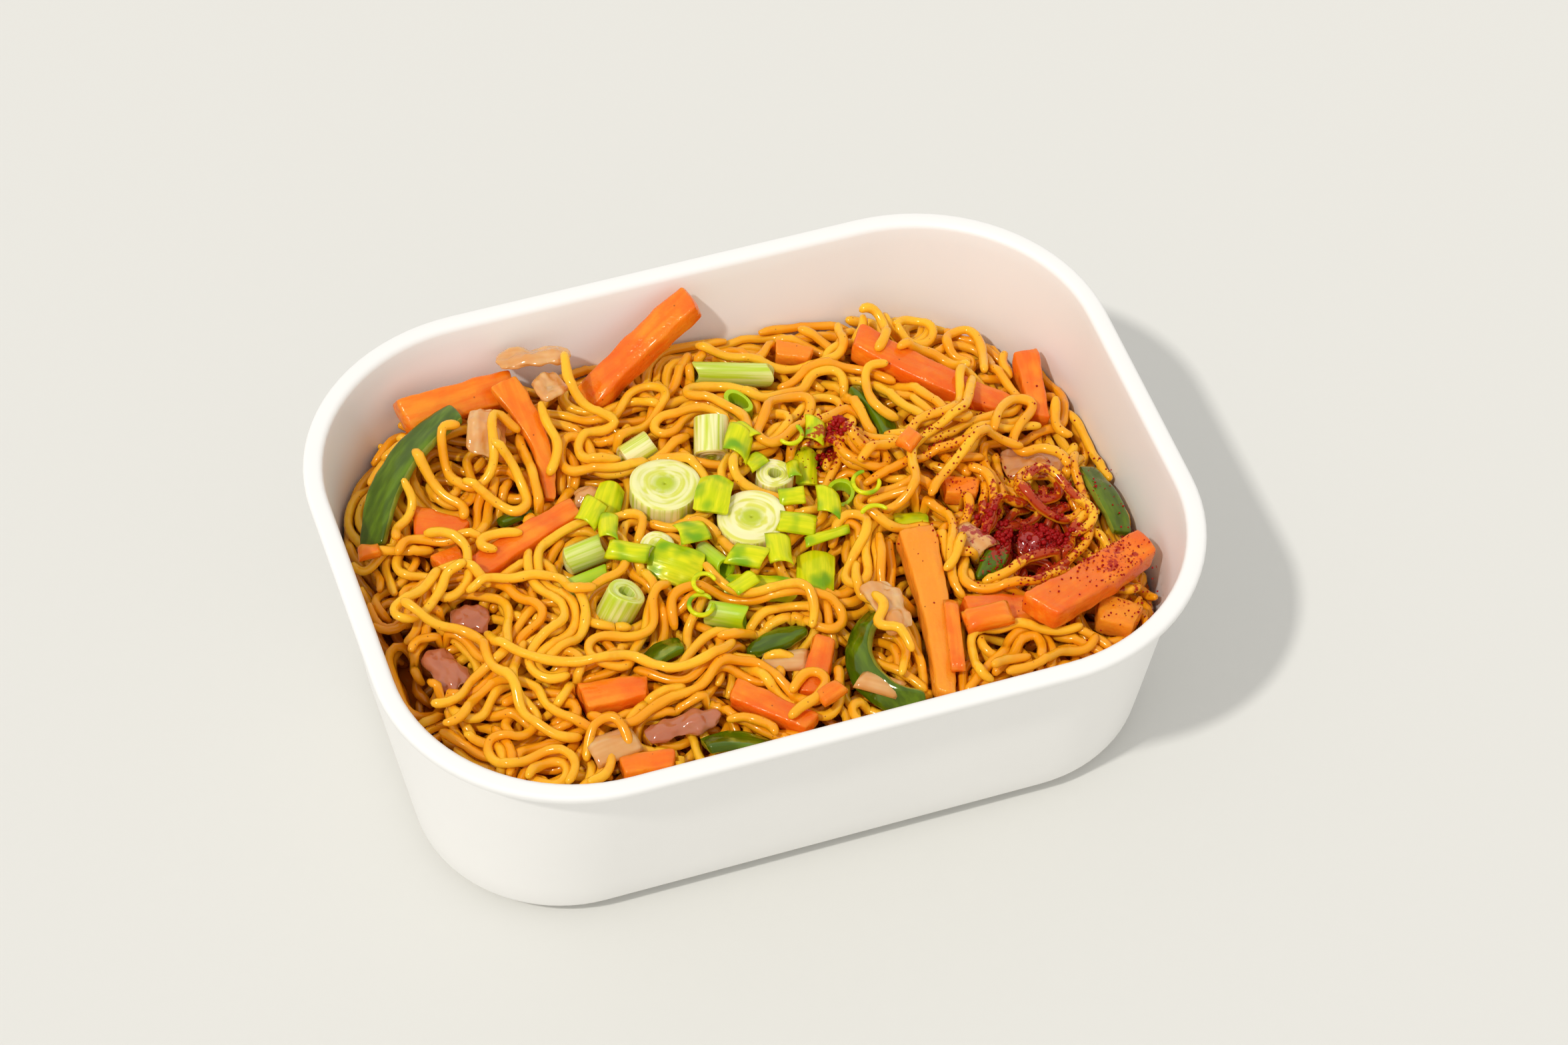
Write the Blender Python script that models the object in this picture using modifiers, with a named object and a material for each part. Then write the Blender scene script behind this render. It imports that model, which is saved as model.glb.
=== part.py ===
"""Noodle takeaway box: a white moulded box with a turned-out lip, filled with wavy noodles.

Carrot sticks, pepper strips, onion petals and chopped spring onion lie on the noodles.
Metres, +Z up. The origin is the middle of the box's underside and +X runs along its length.
"""

import itertools
import math
import random
from collections import namedtuple

import bmesh
import bpy
import numpy as np
from mathutils import Matrix, Vector, noise
from mathutils.bvhtree import BVHTree

MM = 0.001

# The box
BOX_LENGTH = 0.175
BOX_WIDTH = 0.133
BOX_HEIGHT = 0.062
RIM_CORNER = 0.042
BASE_LENGTH = 0.156
BASE_WIDTH = 0.096
BASE_CORNER = 0.030
BOARD = 0.0009
FOOT_RADIUS = 0.006
LIP_WIDTH = 0.0042
LIP_DROP = 0.0022
LIP_ROLL = 0.0012
CORNER_STEPS = 6

# The heap of noodles
NOODLE_RADIUS = 0.0011
NOODLE_SIDES = 5
HEAP_HEIGHT = 0.0460
HEAP_DOME = 0.0030
DOME_SHIFT = 0.005
DOME_LENGTH = 0.050
DOME_WIDTH = 0.036
HEAP_DROP_RIGHT = 0.0060
DROP_START = 0.030
DROP_RUN = 0.045
HEAP_LUMP = 0.0012
LUMP_SIZE = 0.022
CORE_DEPTH = 0.0034
CORE_GAP = 0.0005
CORE_RINGS = 7
STRANDS = 18
STRAND_LENGTH = 0.090
SHORTEST_STRAND = 0.020
STRAND_TRIES = 12
START_TRIES = 60
WAVE_LENGTHS = (0.020, 0.030)
WAVE_SWINGS = (45, 80)
SELF_CLEARANCE = 2.2 * NOODLE_RADIUS
SELF_LAG = 5 * NOODLE_RADIUS
POINT_SPACING = 0.0041
LOOK_AHEAD = 0.0022
END_RAMP = 0.005
END_DIP = 0.6 * NOODLE_RADIUS
SMOOTH_PASSES = 14
ASIDES = (0, 0.15, -0.15, 0.3, -0.3, 0.5, -0.5, 0.8, -0.8, 1.1, -1.1, 1.5, -1.5)
FUSE = 0.0006
SEED = 11

# Shares of a piece's own size
CARROT_SLANT = 0.18
CARROT_THINNING = 0.4
CARROT_ROUNDING = 0.10
CARROT_CUTS = 3
PEPPER_THINNING = 0.25
PEPPER_ROUNDING = 0.22
PEPPER_STEPS = 5
PETAL_STEPS = 4
PETAL_WAIST = 0.18
PETAL_LIFT = 0.12
SLICE_SIDES = 11

# How pieces lie
GAP = 0.0004
CELL = 0.0005
NUDGE = 4
EFFORT = 0.0002
LEANS = (-0.30, -0.2, -0.1, 0.0, 0.1, 0.2, 0.30)

Carrot = namedtuple("Carrot", "name x y yaw pitch roll length width thick taper bend")
Pepper = namedtuple("Pepper", "name x y yaw pitch roll radius sweep width thick taper face")
Onion = namedtuple("Onion", "name x y yaw pitch roll length width curl thick")
Slice = namedtuple("Slice", "name x y yaw pitch roll diameter height bore oval")
Leaf = namedtuple("Leaf", "name x y yaw pitch roll length width curl thick")

# Places in millimetres and turns in degrees. Taper is the far end's share of the near end's width,
# and face is how far a strip's skin turns up about the strip's own middle line.
CARROTS = [
    Carrot("carrot_back_left", -51, 53.5, 6, 0, 15, 25, 8.0, 6.0, 0.9, 0.0),
    Carrot("carrot_back_stick", -9, 53.5, 20, -12, 0, 32, 7.0, 6.0, 1.0, 0.8),
    Carrot("carrot_back_right", 51, 33, -44, 0, 12, 36, 7.5, 6.0, 0.85, -1.0),
    Carrot("carrot_back_stub", 25, 47, -30, 6, 0, 8, 4.5, 4.0, 0.8, 0.0),
    Carrot("carrot_right_wall", 73.5, 27.5, -100, 14, 0, 19, 6.0, 5.0, 0.7, 0.0),
    Carrot("carrot_left_strip", -38, 38.5, -84, 0, 0, 29, 6.5, 3.0, 0.35, 3.0),
    Carrot("carrot_left_chunk", -61, 22.5, -25, 6, 0, 11, 9.5, 5.0, 0.45, 0.0),
    Carrot("carrot_left_stub", -61.5, 14, 15, 0, 0, 6, 4.5, 4.0, 0.9, 0.0),
    Carrot("carrot_left_stick", -45, 12.5, 19, -4, 0, 26, 6.5, 5.5, 0.85, 0.5),
    Carrot("carrot_middle_stub", 46, 0, -20, 0, 0, 7.5, 5.5, 4.5, 0.9, 0.0),
    Carrot("carrot_right_low", 45.5, -35, -8, 0, 0, 22, 7.5, 5.5, 0.9, 0.5),
    Carrot("carrot_right_block", 66.5, -39, -30, 4, 0, 9, 8.0, 5.0, 0.9, 0.0),
    Carrot("carrot_right_top", 63, -33, 25, -4, 6, 34, 9.0, 6.0, 0.85, -0.6),
    Carrot("carrot_front_long", 28, -31, -101, -3, 0, 43, 8.5, 5.5, 0.5, 1.2),
    Carrot("carrot_front_stub", 1.5, -37.5, 60, -4, 0, 15, 5.5, 5.0, 0.9, 0.0),
    Carrot("carrot_front_left", -39.5, -31, -6, 0, 0, 14, 7.5, 5.5, 0.7, 0.0),
    Carrot("carrot_front_middle", -10.5, -44.5, -44, 0, 0, 18, 5.5, 5.0, 0.9, 0.0),
    Carrot("carrot_front_edge", -38.5, -49.5, -10, 0, 0, 11, 5.5, 4.5, 0.8, 0.0),
]
PEPPERS = [
    Pepper("pepper_left_arc", -64.5, 37, 42, 0, 10, 34, 62, 8.0, 2.8, 0.8, 50),
    Pepper("pepper_front_hook", 13.2, -40.5, 94, 0, 8, 12.5, 150, 7.0, 2.8, 0.85, 42),
    Pepper("pepper_front_pod", -4, -28, 8, 0, 5, 40, 20, 5.5, 3.0, 0.35, 60),
    Pepper("pepper_front_bit", -27, -24, 20, 0, 20, 9, 60, 6.5, 2.4, 0.8, 40),
    Pepper("pepper_front_edge", -20.5, -50, -20, 0, 5, 12, 60, 7.0, 2.4, 0.85, 55),
    Pepper("pepper_back_strip", 36, 26, -80, 0, 5, 22, 44, 6.0, 2.6, 0.7, 50),
    Pepper("pepper_right_wall", 76, -8, -88, 0, 62, 40, 28, 6.5, 2.4, 0.75, 0),
    Pepper("pepper_right_point", 46.8, -18.3, -135, 0, 5, 30, 30, 5.0, 2.6, 0.3, 45),
    Pepper("pepper_left_bit", -45, 21, 8, 0, 5, 14, 32, 4.5, 2.4, 0.65, 50),
]
ONIONS = [
    Onion("onion_left_curl", -47.5, 38, 78, 0, 10, 12, 10.0, 100, 1.6),
    Onion("onion_left_pale", -30, 46, -70, 0, 8, 8, 6.5, 70, 1.6),
    Onion("onion_centre_left", -28, 21, -20, 0, 0, 9, 6.0, 80, 1.5),
    Onion("onion_front_right", 19.5, -29.5, -90, 0, 10, 16, 7.5, 50, 1.6),
    Onion("onion_front_strip", -29, -44.5, 2, 0, 10, 17, 5.5, 110, 1.6),
    Onion("onion_left_shiny", -62, -2, -15, 0, 0, 9, 7.5, 110, 1.6),
    Onion("onion_left_low", -70, -13, -70, 0, 10, 12, 7.5, 100, 1.6),
    Onion("onion_right_crumpled", 65, 6, -15, 0, 0, 14, 9.0, 60, 1.5),
    Onion("onion_right_round", 58, -16, -25, 0, 0, 10, 9.0, 90, 1.6),
    Onion("onion_back_top", -31, 55, -12, 6, -8, 16, 8.0, 60, 1.8),
]
# Bore is the hole's share of the diameter and oval the squash across it.
SLICES = [
    Slice("spring_onion_disc_left", -14, 16, 0, 14, -14, 15.0, 5.5, 0.14, 1.0),
    Slice("spring_onion_ring_white", 9, 12.5, 0, 10, 10, 8.0, 4.0, 0.36, 1.0),
    Slice("spring_onion_bulb_low", -20.5, 0.5, 20, -25, 20, 7.5, 5.0, 0.15, 1.0),
    Slice("spring_onion_disc_right", 0.5, 2, 30, -10, 14, 14.5, 5.0, 0.14, 1.0),
    Slice("spring_onion_white_back", -0.5, 26, 70, 62, 0, 7.5, 9.0, 0.30, 1.0),
    Slice("spring_onion_white_small", -16, 29, 20, 75, 0, 6.0, 7.0, 0.25, 1.0),
    Slice("spring_onion_ring_green", 21, 5, 60, 15, 0, 8.5, 2.6, 0.74, 0.7),
    Slice("spring_onion_tube_front", -12, -19.5, -30, 80, 0, 6.0, 8.0, 0.66, 0.8),
    Slice("spring_onion_ring_low", -32, -11, 10, 40, 0, 8.5, 6.5, 0.45, 0.9),
    Slice("spring_onion_tube_left", -35, 4.5, 5, 84, 0, 6.5, 8.0, 0.55, 0.85),
    Slice("spring_onion_tube_low", -36.5, -1, 8, 88, 0, 5.0, 9.0, 0.60, 0.9),
    Slice("spring_onion_tube_middle", -10, -5.5, -70, 60, 0, 5.5, 8.0, 0.68, 0.8),
    Slice("spring_onion_tube_back", 10.5, 44.5, -20, 90, 0, 6.0, 16.0, 0.60, 0.75),
    Slice("spring_onion_curl_back", 8.5, 35, -60, 24, 0, 7.5, 4.0, 0.70, 0.6),
]
LEAVES = [
    Leaf("spring_onion_leaf_middle", -5.5, 9, 60, -8, 0, 10.0, 7.5, 55, 0.9),
    Leaf("spring_onion_leaf_left", -16.5, -5.5, -38, 0, 10, 11.5, 8.5, 50, 0.9),
    Leaf("spring_onion_leaf_right", 9.5, -13, 72, 0, 0, 10.0, 8.0, 70, 0.9),
    Leaf("spring_onion_leaf_long", -3, -12.5, -20, 0, 12, 16.0, 5.5, 80, 0.9),
    Leaf("spring_onion_leaf_upper", 17, 15, 72, 0, 10, 11.0, 5.0, 110, 0.9),
    Leaf("spring_onion_leaf_side", -24.5, 17, 60, 0, 0, 8.5, 6.0, 90, 0.9),
    Leaf("spring_onion_leaf_bright", 33.5, -4.5, -10, 0, 0, 7.5, 4.2, 90, 0.9),
]


def clear_scene():
    for obj in list(bpy.data.objects):
        bpy.data.objects.remove(obj)


def make_material(name, colour, roughness):
    material = bpy.data.materials.new(name)
    material.use_nodes = True
    shader = material.node_tree.nodes["Principled BSDF"]
    shader.inputs["Base Color"].default_value = (*colour, 1.0)
    shader.inputs["Roughness"].default_value = roughness
    shader.inputs["Metallic"].default_value = 0.0
    return material


def make_object(name, bm, collection, material=None):
    """A named object from a bmesh, with its faces turned outwards."""
    bm.normal_update()
    bmesh.ops.recalc_face_normals(bm, faces=bm.faces)
    mesh = bpy.data.meshes.new(name)
    bm.to_mesh(mesh)
    bm.free()
    if material:
        mesh.materials.append(material)
    obj = bpy.data.objects.new(name, mesh)
    collection.objects.link(obj)
    return obj


def bevelled(obj, width, segments=1):
    modifier = obj.modifiers.new("Rounded edges", "BEVEL")
    modifier.width = width
    modifier.segments = segments
    modifier.limit_method = "ANGLE"
    modifier.angle_limit = math.radians(40)


def apply_modifiers(obj):
    """Gives the object the mesh that its modifiers make."""
    graph = bpy.context.evaluated_depsgraph_get()
    mesh = bpy.data.meshes.new_from_object(obj.evaluated_get(graph))
    obj.modifiers.clear()
    obj.data = mesh


def inner_size(height, grow=0.0):
    """Half the length, half the width and the corner radius inside the wall at a height."""
    share = height / BOX_HEIGHT
    ends = (
        (BASE_LENGTH / 2, BOX_LENGTH / 2 - LIP_WIDTH),
        (BASE_WIDTH / 2, BOX_WIDTH / 2 - LIP_WIDTH),
        (BASE_CORNER, RIM_CORNER - LIP_WIDTH),
    )
    return [low + share * (high - low) + grow for low, high in ends]


def room_inside(x, y, height):
    """How far a point is from the inner face of the wall. It is negative outside."""
    half_length, half_width, corner = inner_size(height)
    beyond_x = max(abs(x) - half_length + corner, 0)
    beyond_y = max(abs(y) - half_width + corner, 0)
    return corner - math.hypot(beyond_x, beyond_y)


def outline(height, grow, steps=CORNER_STEPS, sides=1):
    """The box's inner outline at a height, grown outwards: corners as arcs, sides straight."""
    half_length, half_width, corner = inner_size(height, grow)
    points = []
    for quarter, (side_x, side_y) in enumerate(((1, 1), (-1, 1), (-1, -1), (1, -1))):
        centre = Vector((side_x * (half_length - corner), side_y * (half_width - corner)))
        for step in range(steps + 1):
            angle = math.pi / 2 * (quarter + step / steps)
            points.append(centre + corner * Vector((math.cos(angle), math.sin(angle))))
        straight = side_x * side_y > 0
        run = 2 * ((half_length if straight else half_width) - corner)
        along = Vector((-side_x, 0)) if straight else Vector((0, -side_y))
        points += [points[-1] + along * run * k / sides for k in range(1, sides)]
    return points


def ring_of(bm, points, height):
    """Vertices along an outline. The height is a number, or a function of x and y."""
    level = height if callable(height) else lambda x, y: height
    return [bm.verts.new((p.x, p.y, level(p.x, p.y))) for p in points]


def bridge(bm, lower, upper):
    count = len(lower)
    for k in range(count):
        bm.faces.new((lower[k], lower[(k + 1) % count], upper[(k + 1) % count], upper[k]))


def board_profile():
    """(height, growth) of the box's inner face, from the floor out over the lip."""
    profile = [(BOARD, -FOOT_RADIUS)]
    for degrees in (30, 55, 82):
        turn = math.radians(degrees)
        rise = FOOT_RADIUS * (1 - math.cos(turn))
        profile.append((BOARD + rise, FOOT_RADIUS * (math.sin(turn) - 1)))
    for degrees in (0, 45, 90):
        turn = math.radians(degrees)
        height = BOX_HEIGHT - LIP_ROLL * (1 - math.sin(turn))
        profile.append((height, LIP_ROLL * (1 - math.cos(turn))))
    for degrees in (0, 50, 90):
        turn = math.radians(degrees)
        height = BOX_HEIGHT - LIP_ROLL * (1 - math.cos(turn))
        profile.append((height, LIP_WIDTH - LIP_ROLL * (1 - math.sin(turn))))
    profile.append((BOX_HEIGHT - LIP_DROP, LIP_WIDTH))
    return profile


def make_box(collection, material):
    """The moulded box: its inner face as one open sheet, given the board's thickness outwards."""
    bm = bmesh.new()
    rings = [ring_of(bm, outline(height, grow), height) for height, grow in board_profile()]
    bm.faces.new(rings[0])
    for lower, upper in zip(rings, rings[1:]):
        bridge(bm, lower, upper)
    bmesh.ops.recalc_face_normals(bm, faces=bm.faces)
    mesh = bpy.data.meshes.new("box")
    bm.to_mesh(mesh)
    bm.free()
    mesh.materials.append(material)
    obj = bpy.data.objects.new("box", mesh)
    collection.objects.link(obj)
    floor_up = mesh.polygons[0].normal.z > 0
    sheet = obj.modifiers.new("Board", "SOLIDIFY")
    sheet.thickness = BOARD
    sheet.offset = -1.0 if floor_up else 1.0
    sheet.use_even_offset = True
    sheet.use_quality_normals = True
    mesh.shade_smooth()
    mesh.set_sharp_from_angle(angle=math.radians(40))
    return obj


def heap_height(x, y):
    """The mean height of the noodles: a low dome that falls towards the right-hand end."""
    spread = ((x + DOME_SHIFT) / DOME_LENGTH) ** 2 + (y / DOME_WIDTH) ** 2
    dome = HEAP_DOME * math.exp(-spread)
    share = min(1.0, max(0.0, (x - DROP_START) / DROP_RUN))
    drop = HEAP_DROP_RIGHT * share * share * (3 - 2 * share)
    lump = HEAP_LUMP * noise.noise(Vector((x, y, 0.0)) / LUMP_SIZE)
    return HEAP_HEIGHT + dome - drop + lump


def core_height(x, y):
    return heap_height(x, y) - CORE_DEPTH


def make_core(collection, material):
    """The body of the heap: it fills the box up to just below the noodles on top."""
    bm = bmesh.new()
    bottom = BOARD + GAP
    foot = FOOT_RADIUS + CORE_GAP
    shape = dict(steps=CORNER_STEPS + 1, sides=3)
    rings = [ring_of(bm, outline(bottom, -foot, **shape), bottom)]
    inset = foot * (1 - math.cos(math.radians(30)))
    waist = outline(bottom + foot / 2, -CORE_GAP - inset, **shape)
    rings.append(ring_of(bm, waist, bottom + foot / 2))
    edge = outline(HEAP_HEIGHT - CORE_DEPTH - HEAP_DROP_RIGHT, -CORE_GAP, **shape)
    for k in range(CORE_RINGS):
        scaled = [p * (1 - k / CORE_RINGS) for p in edge]
        rings.append(ring_of(bm, scaled, core_height))
    bm.faces.new(rings[0])
    for lower, upper in zip(rings, rings[1:]):
        bridge(bm, lower, upper)
    middle = bm.verts.new((0, 0, core_height(0, 0)))
    last = rings[-1]
    for k in range(len(last)):
        bm.faces.new((last[k], last[(k + 1) % len(last)], middle))
    bmesh.ops.triangulate(bm, faces=bm.faces)
    return make_object("noodles", bm, collection, material)


class Relief:
    """The highest surface so far over each cell of a square grid across the box."""

    def __init__(self, ground):
        self.columns = int(BOX_LENGTH / CELL)
        self.rows = int(BOX_WIDTH / CELL)
        self.top = np.full((self.rows, self.columns), BOX_HEIGHT)
        self.taken = np.zeros((self.rows, self.columns), bool)
        for row, column in np.ndindex(self.rows, self.columns):
            x, y = self.place(row, column)
            height = core_height(x, y)
            while height < BOX_HEIGHT and room_inside(x, y, height) < GAP:
                height += 2 * CELL
            self.top[row, column] = height
        for row, column, _, high in self.spans(ground):
            self.top[row, column] = high

    def place(self, row, column):
        return ((column + 0.5) * CELL - BOX_LENGTH / 2, (row + 0.5) * CELL - BOX_WIDTH / 2)

    def cell(self, x, y):
        column = int((x + BOX_LENGTH / 2) / CELL)
        row = int((y + BOX_WIDTH / 2) / CELL)
        return min(max(row, 0), self.rows - 1), min(max(column, 0), self.columns - 1)

    def spans(self, obj):
        """(row, column, lowest, highest) of the object over each cell that it covers."""
        bpy.context.view_layer.update()
        graph = bpy.context.evaluated_depsgraph_get()
        mesh = obj.evaluated_get(graph).to_mesh()
        corners = [obj.matrix_world @ v.co for v in mesh.vertices]
        tree = BVHTree.FromPolygons(corners, [tuple(p.vertices) for p in mesh.polygons])
        row_low, column_low = self.cell(min(c.x for c in corners), min(c.y for c in corners))
        row_high, column_high = self.cell(max(c.x for c in corners), max(c.y for c in corners))
        found = []
        for row in range(row_low, row_high + 1):
            for column in range(column_low, column_high + 1):
                x, y = self.place(row, column)
                below = tree.ray_cast(Vector((x, y, -1.0)), Vector((0, 0, 1)))[0]
                above = tree.ray_cast(Vector((x, y, 1.0)), Vector((0, 0, -1)))[0]
                if below and above:
                    found.append((row, column, below.z, above.z))
        return found

    def near(self, row, column, reach=1):
        rows = slice(max(row - reach, 0), row + reach + 1)
        columns = slice(max(column - reach, 0), column + reach + 1)
        return rows, columns

    def lowest_rest(self, obj):
        """The small shift and lean at which the object's middle lies lowest."""
        spans = self.spans(obj)
        cells = np.array([(row, column) for row, column, _, _ in spans])
        low = np.array([height for _, _, height, _ in spans])
        middle = cells.mean(axis=0)
        best = (math.inf, 0, 0, 0, 0)
        away = (cells - middle) * CELL
        spread = np.pad(self.top, 1, mode="edge")
        spread = np.maximum.reduce([spread[:-2], spread[1:-1], spread[2:]])
        spread = np.maximum.reduce([spread[:, :-2], spread[:, 1:-1], spread[:, 2:]])
        for down, side in itertools.product(range(-NUDGE, NUDGE + 1, 2), repeat=2):
            shifted = cells + (down, side)
            ground = spread[shifted[:, 0], shifted[:, 1]]
            for lean_x, lean_y in itertools.product(LEANS, repeat=2):
                under = low + lean_x * away[:, 1] + lean_y * away[:, 0]
                effort = EFFORT * (abs(down) + abs(side) + 5 * abs(lean_x) + 5 * abs(lean_y))
                height = (ground - under).max() + effort
                if height < best[0]:
                    best = (height, down, side, lean_x, lean_y)
        return best[1:]

    def settle(self, obj):
        """Lowers the object to rest on what is below it, leaning if it must, a small gap clear."""
        down, side, lean_x, lean_y = self.lowest_rest(obj)
        tilt = Matrix.Rotation(-math.atan(lean_x), 4, "Y") @ Matrix.Rotation(math.atan(lean_y), 4, "X")
        place = Matrix.Translation(obj.location)
        shift = Matrix.Translation((side * CELL, down * CELL, 0))
        obj.matrix_world = shift @ place @ tilt @ place.inverted() @ obj.matrix_world
        spans = self.spans(obj)
        fall = min(low - self.top[self.near(r, c)].max() for r, c, low, _ in spans) - GAP
        obj.matrix_world = Matrix.Translation((0, 0, -fall)) @ obj.matrix_world
        for row, column, _, high in spans:
            self.top[row, column] = max(self.top[row, column], high - fall)
            self.taken[row, column] = True

    def ball_rests_at(self, x, y, radius):
        """The height of a ball's centre when it lies on the surface at x and y."""
        row, column = self.cell(x, y)
        reach = int(radius / CELL)
        rows, columns = self.near(row, column, reach)
        row_grid, column_grid = np.mgrid[rows.start : rows.stop, columns.start : columns.stop]
        part = self.top[rows, columns]
        row_grid = row_grid[: part.shape[0], : part.shape[1]] - row
        column_grid = column_grid[: part.shape[0], : part.shape[1]] - column
        rise = radius**2 - (row_grid**2 + column_grid**2) * CELL**2
        heights = np.where(rise > 0, part + np.sqrt(np.maximum(rise, 0)), 0)
        return float(heights.max())

    def raise_by_ball(self, x, y, z, radius):
        """Raises the surface to the top of a ball at x, y and z."""
        row, column = self.cell(x, y)
        reach = int(radius / CELL)
        for r in range(max(row - reach, 0), min(row + reach + 1, self.rows)):
            for c in range(max(column - reach, 0), min(column + reach + 1, self.columns)):
                rise = radius**2 - ((r - row) ** 2 + (c - column) ** 2) * CELL**2
                if rise > 0:
                    self.top[r, c] = max(self.top[r, c], z + math.sqrt(rise))

    def bare_length(self, plan):
        """How many points of a line lie on the bare core, less those on other noodles."""
        tops = [self.top[self.cell(p.x, p.y)] - core_height(p.x, p.y) for p in plan]
        return sum(1 if rise < NOODLE_RADIUS else -1 for rise in tops)

    def is_free(self, x, y, reach):
        """Whether no piece lies within reach of a point."""
        row, column = self.cell(x, y)
        return not self.taken[self.near(row, column, int(reach / CELL) + 1)].any()


def put(obj, piece):
    """Turns the object and holds it above its place."""
    obj.rotation_euler = [math.radians(turn) for turn in (piece.roll, piece.pitch, piece.yaw)]
    obj.location = (piece.x * MM, piece.y * MM, 2 * BOX_HEIGHT)
    bpy.context.view_layer.update()


def long_block(length, width, thick, cuts):
    """A block along X, centred, cut across into equal lengths."""
    bm = bmesh.new()
    bmesh.ops.create_cube(bm, size=1.0)
    bmesh.ops.scale(bm, vec=(length, width, thick), verts=bm.verts)
    for k in range(1, cuts):
        plane = (length * (k / cuts - 0.5), 0, 0)
        geometry = bm.verts[:] + bm.edges[:] + bm.faces[:]
        bmesh.ops.bisect_plane(bm, geom=geometry, plane_co=plane, plane_no=(1, 0, 0))
    return bm


def make_carrot(piece, collection, material):
    """A cut carrot stick: narrower at its far end, a little bowed, its ends cut on the slant."""
    length, width, thick, bend = (v * MM for v in (piece.length, piece.width, piece.thick, piece.bend))
    bm = long_block(length, width, thick, CARROT_CUTS)
    slant = CARROT_SLANT * width
    for v in bm.verts:
        share = v.co.x / length + 0.5
        v.co.x += slant * v.co.y / width * (1 if share > 0.5 else -1)
        v.co.y *= 1 + (piece.taper - 1) * share
        v.co.z *= 1 + CARROT_THINNING * (piece.taper - 1) * share
        v.co.y += bend * (1 - (2 * share - 1) ** 2)
    obj = make_object(piece.name, bm, collection, material)
    bevelled(obj, CARROT_ROUNDING * thick)
    return obj


def make_pepper(piece, collection, material):
    """A strip of pepper: an arc of wall with its skin outside, turned up by its face angle."""
    sweep = math.radians(piece.sweep)
    face = math.radians(piece.face)
    bm = long_block(sweep, piece.width * MM, piece.thick * MM, PEPPER_STEPS)
    for v in bm.verts:
        turn, across, out = v.co
        share = abs(2 * turn / sweep)
        narrow = 1 - (1 - piece.taper) * share**2
        out *= 1 - PEPPER_THINNING * (1 - narrow)
        across *= narrow
        reach = piece.radius * MM + out * math.cos(face) - across * math.sin(face)
        rise = out * math.sin(face) + across * math.cos(face)
        middle = piece.radius * MM * (1 + math.cos(sweep / 2)) / 2
        v.co = (reach * math.sin(turn), reach * math.cos(turn) - middle, rise)
    obj = make_object(piece.name, bm, collection, material)
    bevelled(obj, PEPPER_ROUNDING * piece.thick * MM)
    return obj


def make_petal(piece, collection, material):
    """A thin curved sheet: an onion petal or an opened leaf, arched across its width."""
    length, width, thick = (v * MM for v in (piece.length, piece.width, piece.thick))
    curl = math.radians(piece.curl)
    radius = width / curl
    bm = bmesh.new()
    bmesh.ops.create_grid(bm, x_segments=2, y_segments=PETAL_STEPS, size=0.5)
    for v in bm.verts:
        turn = v.co.y * curl
        narrow = 1 - PETAL_WAIST * (2 * v.co.y) ** 2
        arch = PETAL_LIFT * width * (1 - (2 * v.co.x) ** 2)
        v.co = (
            v.co.x * length * narrow,
            radius * math.sin(turn),
            radius * (math.cos(turn) - 1) + arch,
        )
    obj = make_object(piece.name, bm, collection, material)
    sheet = obj.modifiers.new("Sheet", "SOLIDIFY")
    sheet.thickness = thick
    sheet.offset = 0.0
    return obj


def make_slice(piece, collection, material):
    """A cut length of spring onion stalk: a short tube about local Z, squashed by its oval."""
    outer = piece.diameter * MM / 2
    inner = outer * piece.bore
    half = piece.height * MM / 2
    bm = bmesh.new()
    rings = []
    for radius, height in ((inner, -half), (outer, -half), (outer, half), (inner, half)):
        turns = [2 * math.pi * k / SLICE_SIDES for k in range(SLICE_SIDES)]
        points = [Vector((math.cos(t), piece.oval * math.sin(t))) * radius for t in turns]
        rings.append(ring_of(bm, points, height))
    for lower, upper in zip(rings, rings[1:] + rings[:1]):
        bridge(bm, lower, upper)
    return make_object(piece.name, bm, collection, material)


def strand_plan(rng, start, heading, relief):
    """A wavy line in plan from a start point that turns aside from pieces, walls and itself."""
    wave = rng.uniform(*WAVE_LENGTHS)
    swing = math.radians(rng.uniform(*WAVE_SWINGS))
    phase = rng.uniform(0, 2 * math.pi)
    points, place = [], Vector(start)

    def is_open(spot):
        clear = NOODLE_RADIUS + 2 * GAP
        if room_inside(*spot, core_height(*spot)) < clear or not relief.is_free(*spot, clear):
            return False
        older = points[: max(0, len(points) - int(SELF_LAG / CELL))]
        return all((spot - p).length > SELF_CLEARANCE for p in older[::3])

    for k in range(int(STRAND_LENGTH / CELL)):
        points.append(place.copy())
        wanted = heading + swing * math.sin(2 * math.pi * k * CELL / wave + phase)
        for aside in ASIDES:
            turn = wanted + aside
            way = Vector((math.cos(turn), math.sin(turn)))
            if is_open(place + CELL * way) and is_open(place + LOOK_AHEAD * way):
                break
        else:
            break
        heading += aside
        place = place + CELL * way
    return rounded(points)


def rounded(points, reach=3):
    """The line with each point moved to the mean of its neighbours."""
    last = len(points) - 1
    line = []
    for k in range(len(points)):
        near = [points[min(max(j, 0), last)] for j in range(k - reach, k + reach + 1)]
        line.append(sum(near, Vector((0, 0))) / len(near))
    return line


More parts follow.
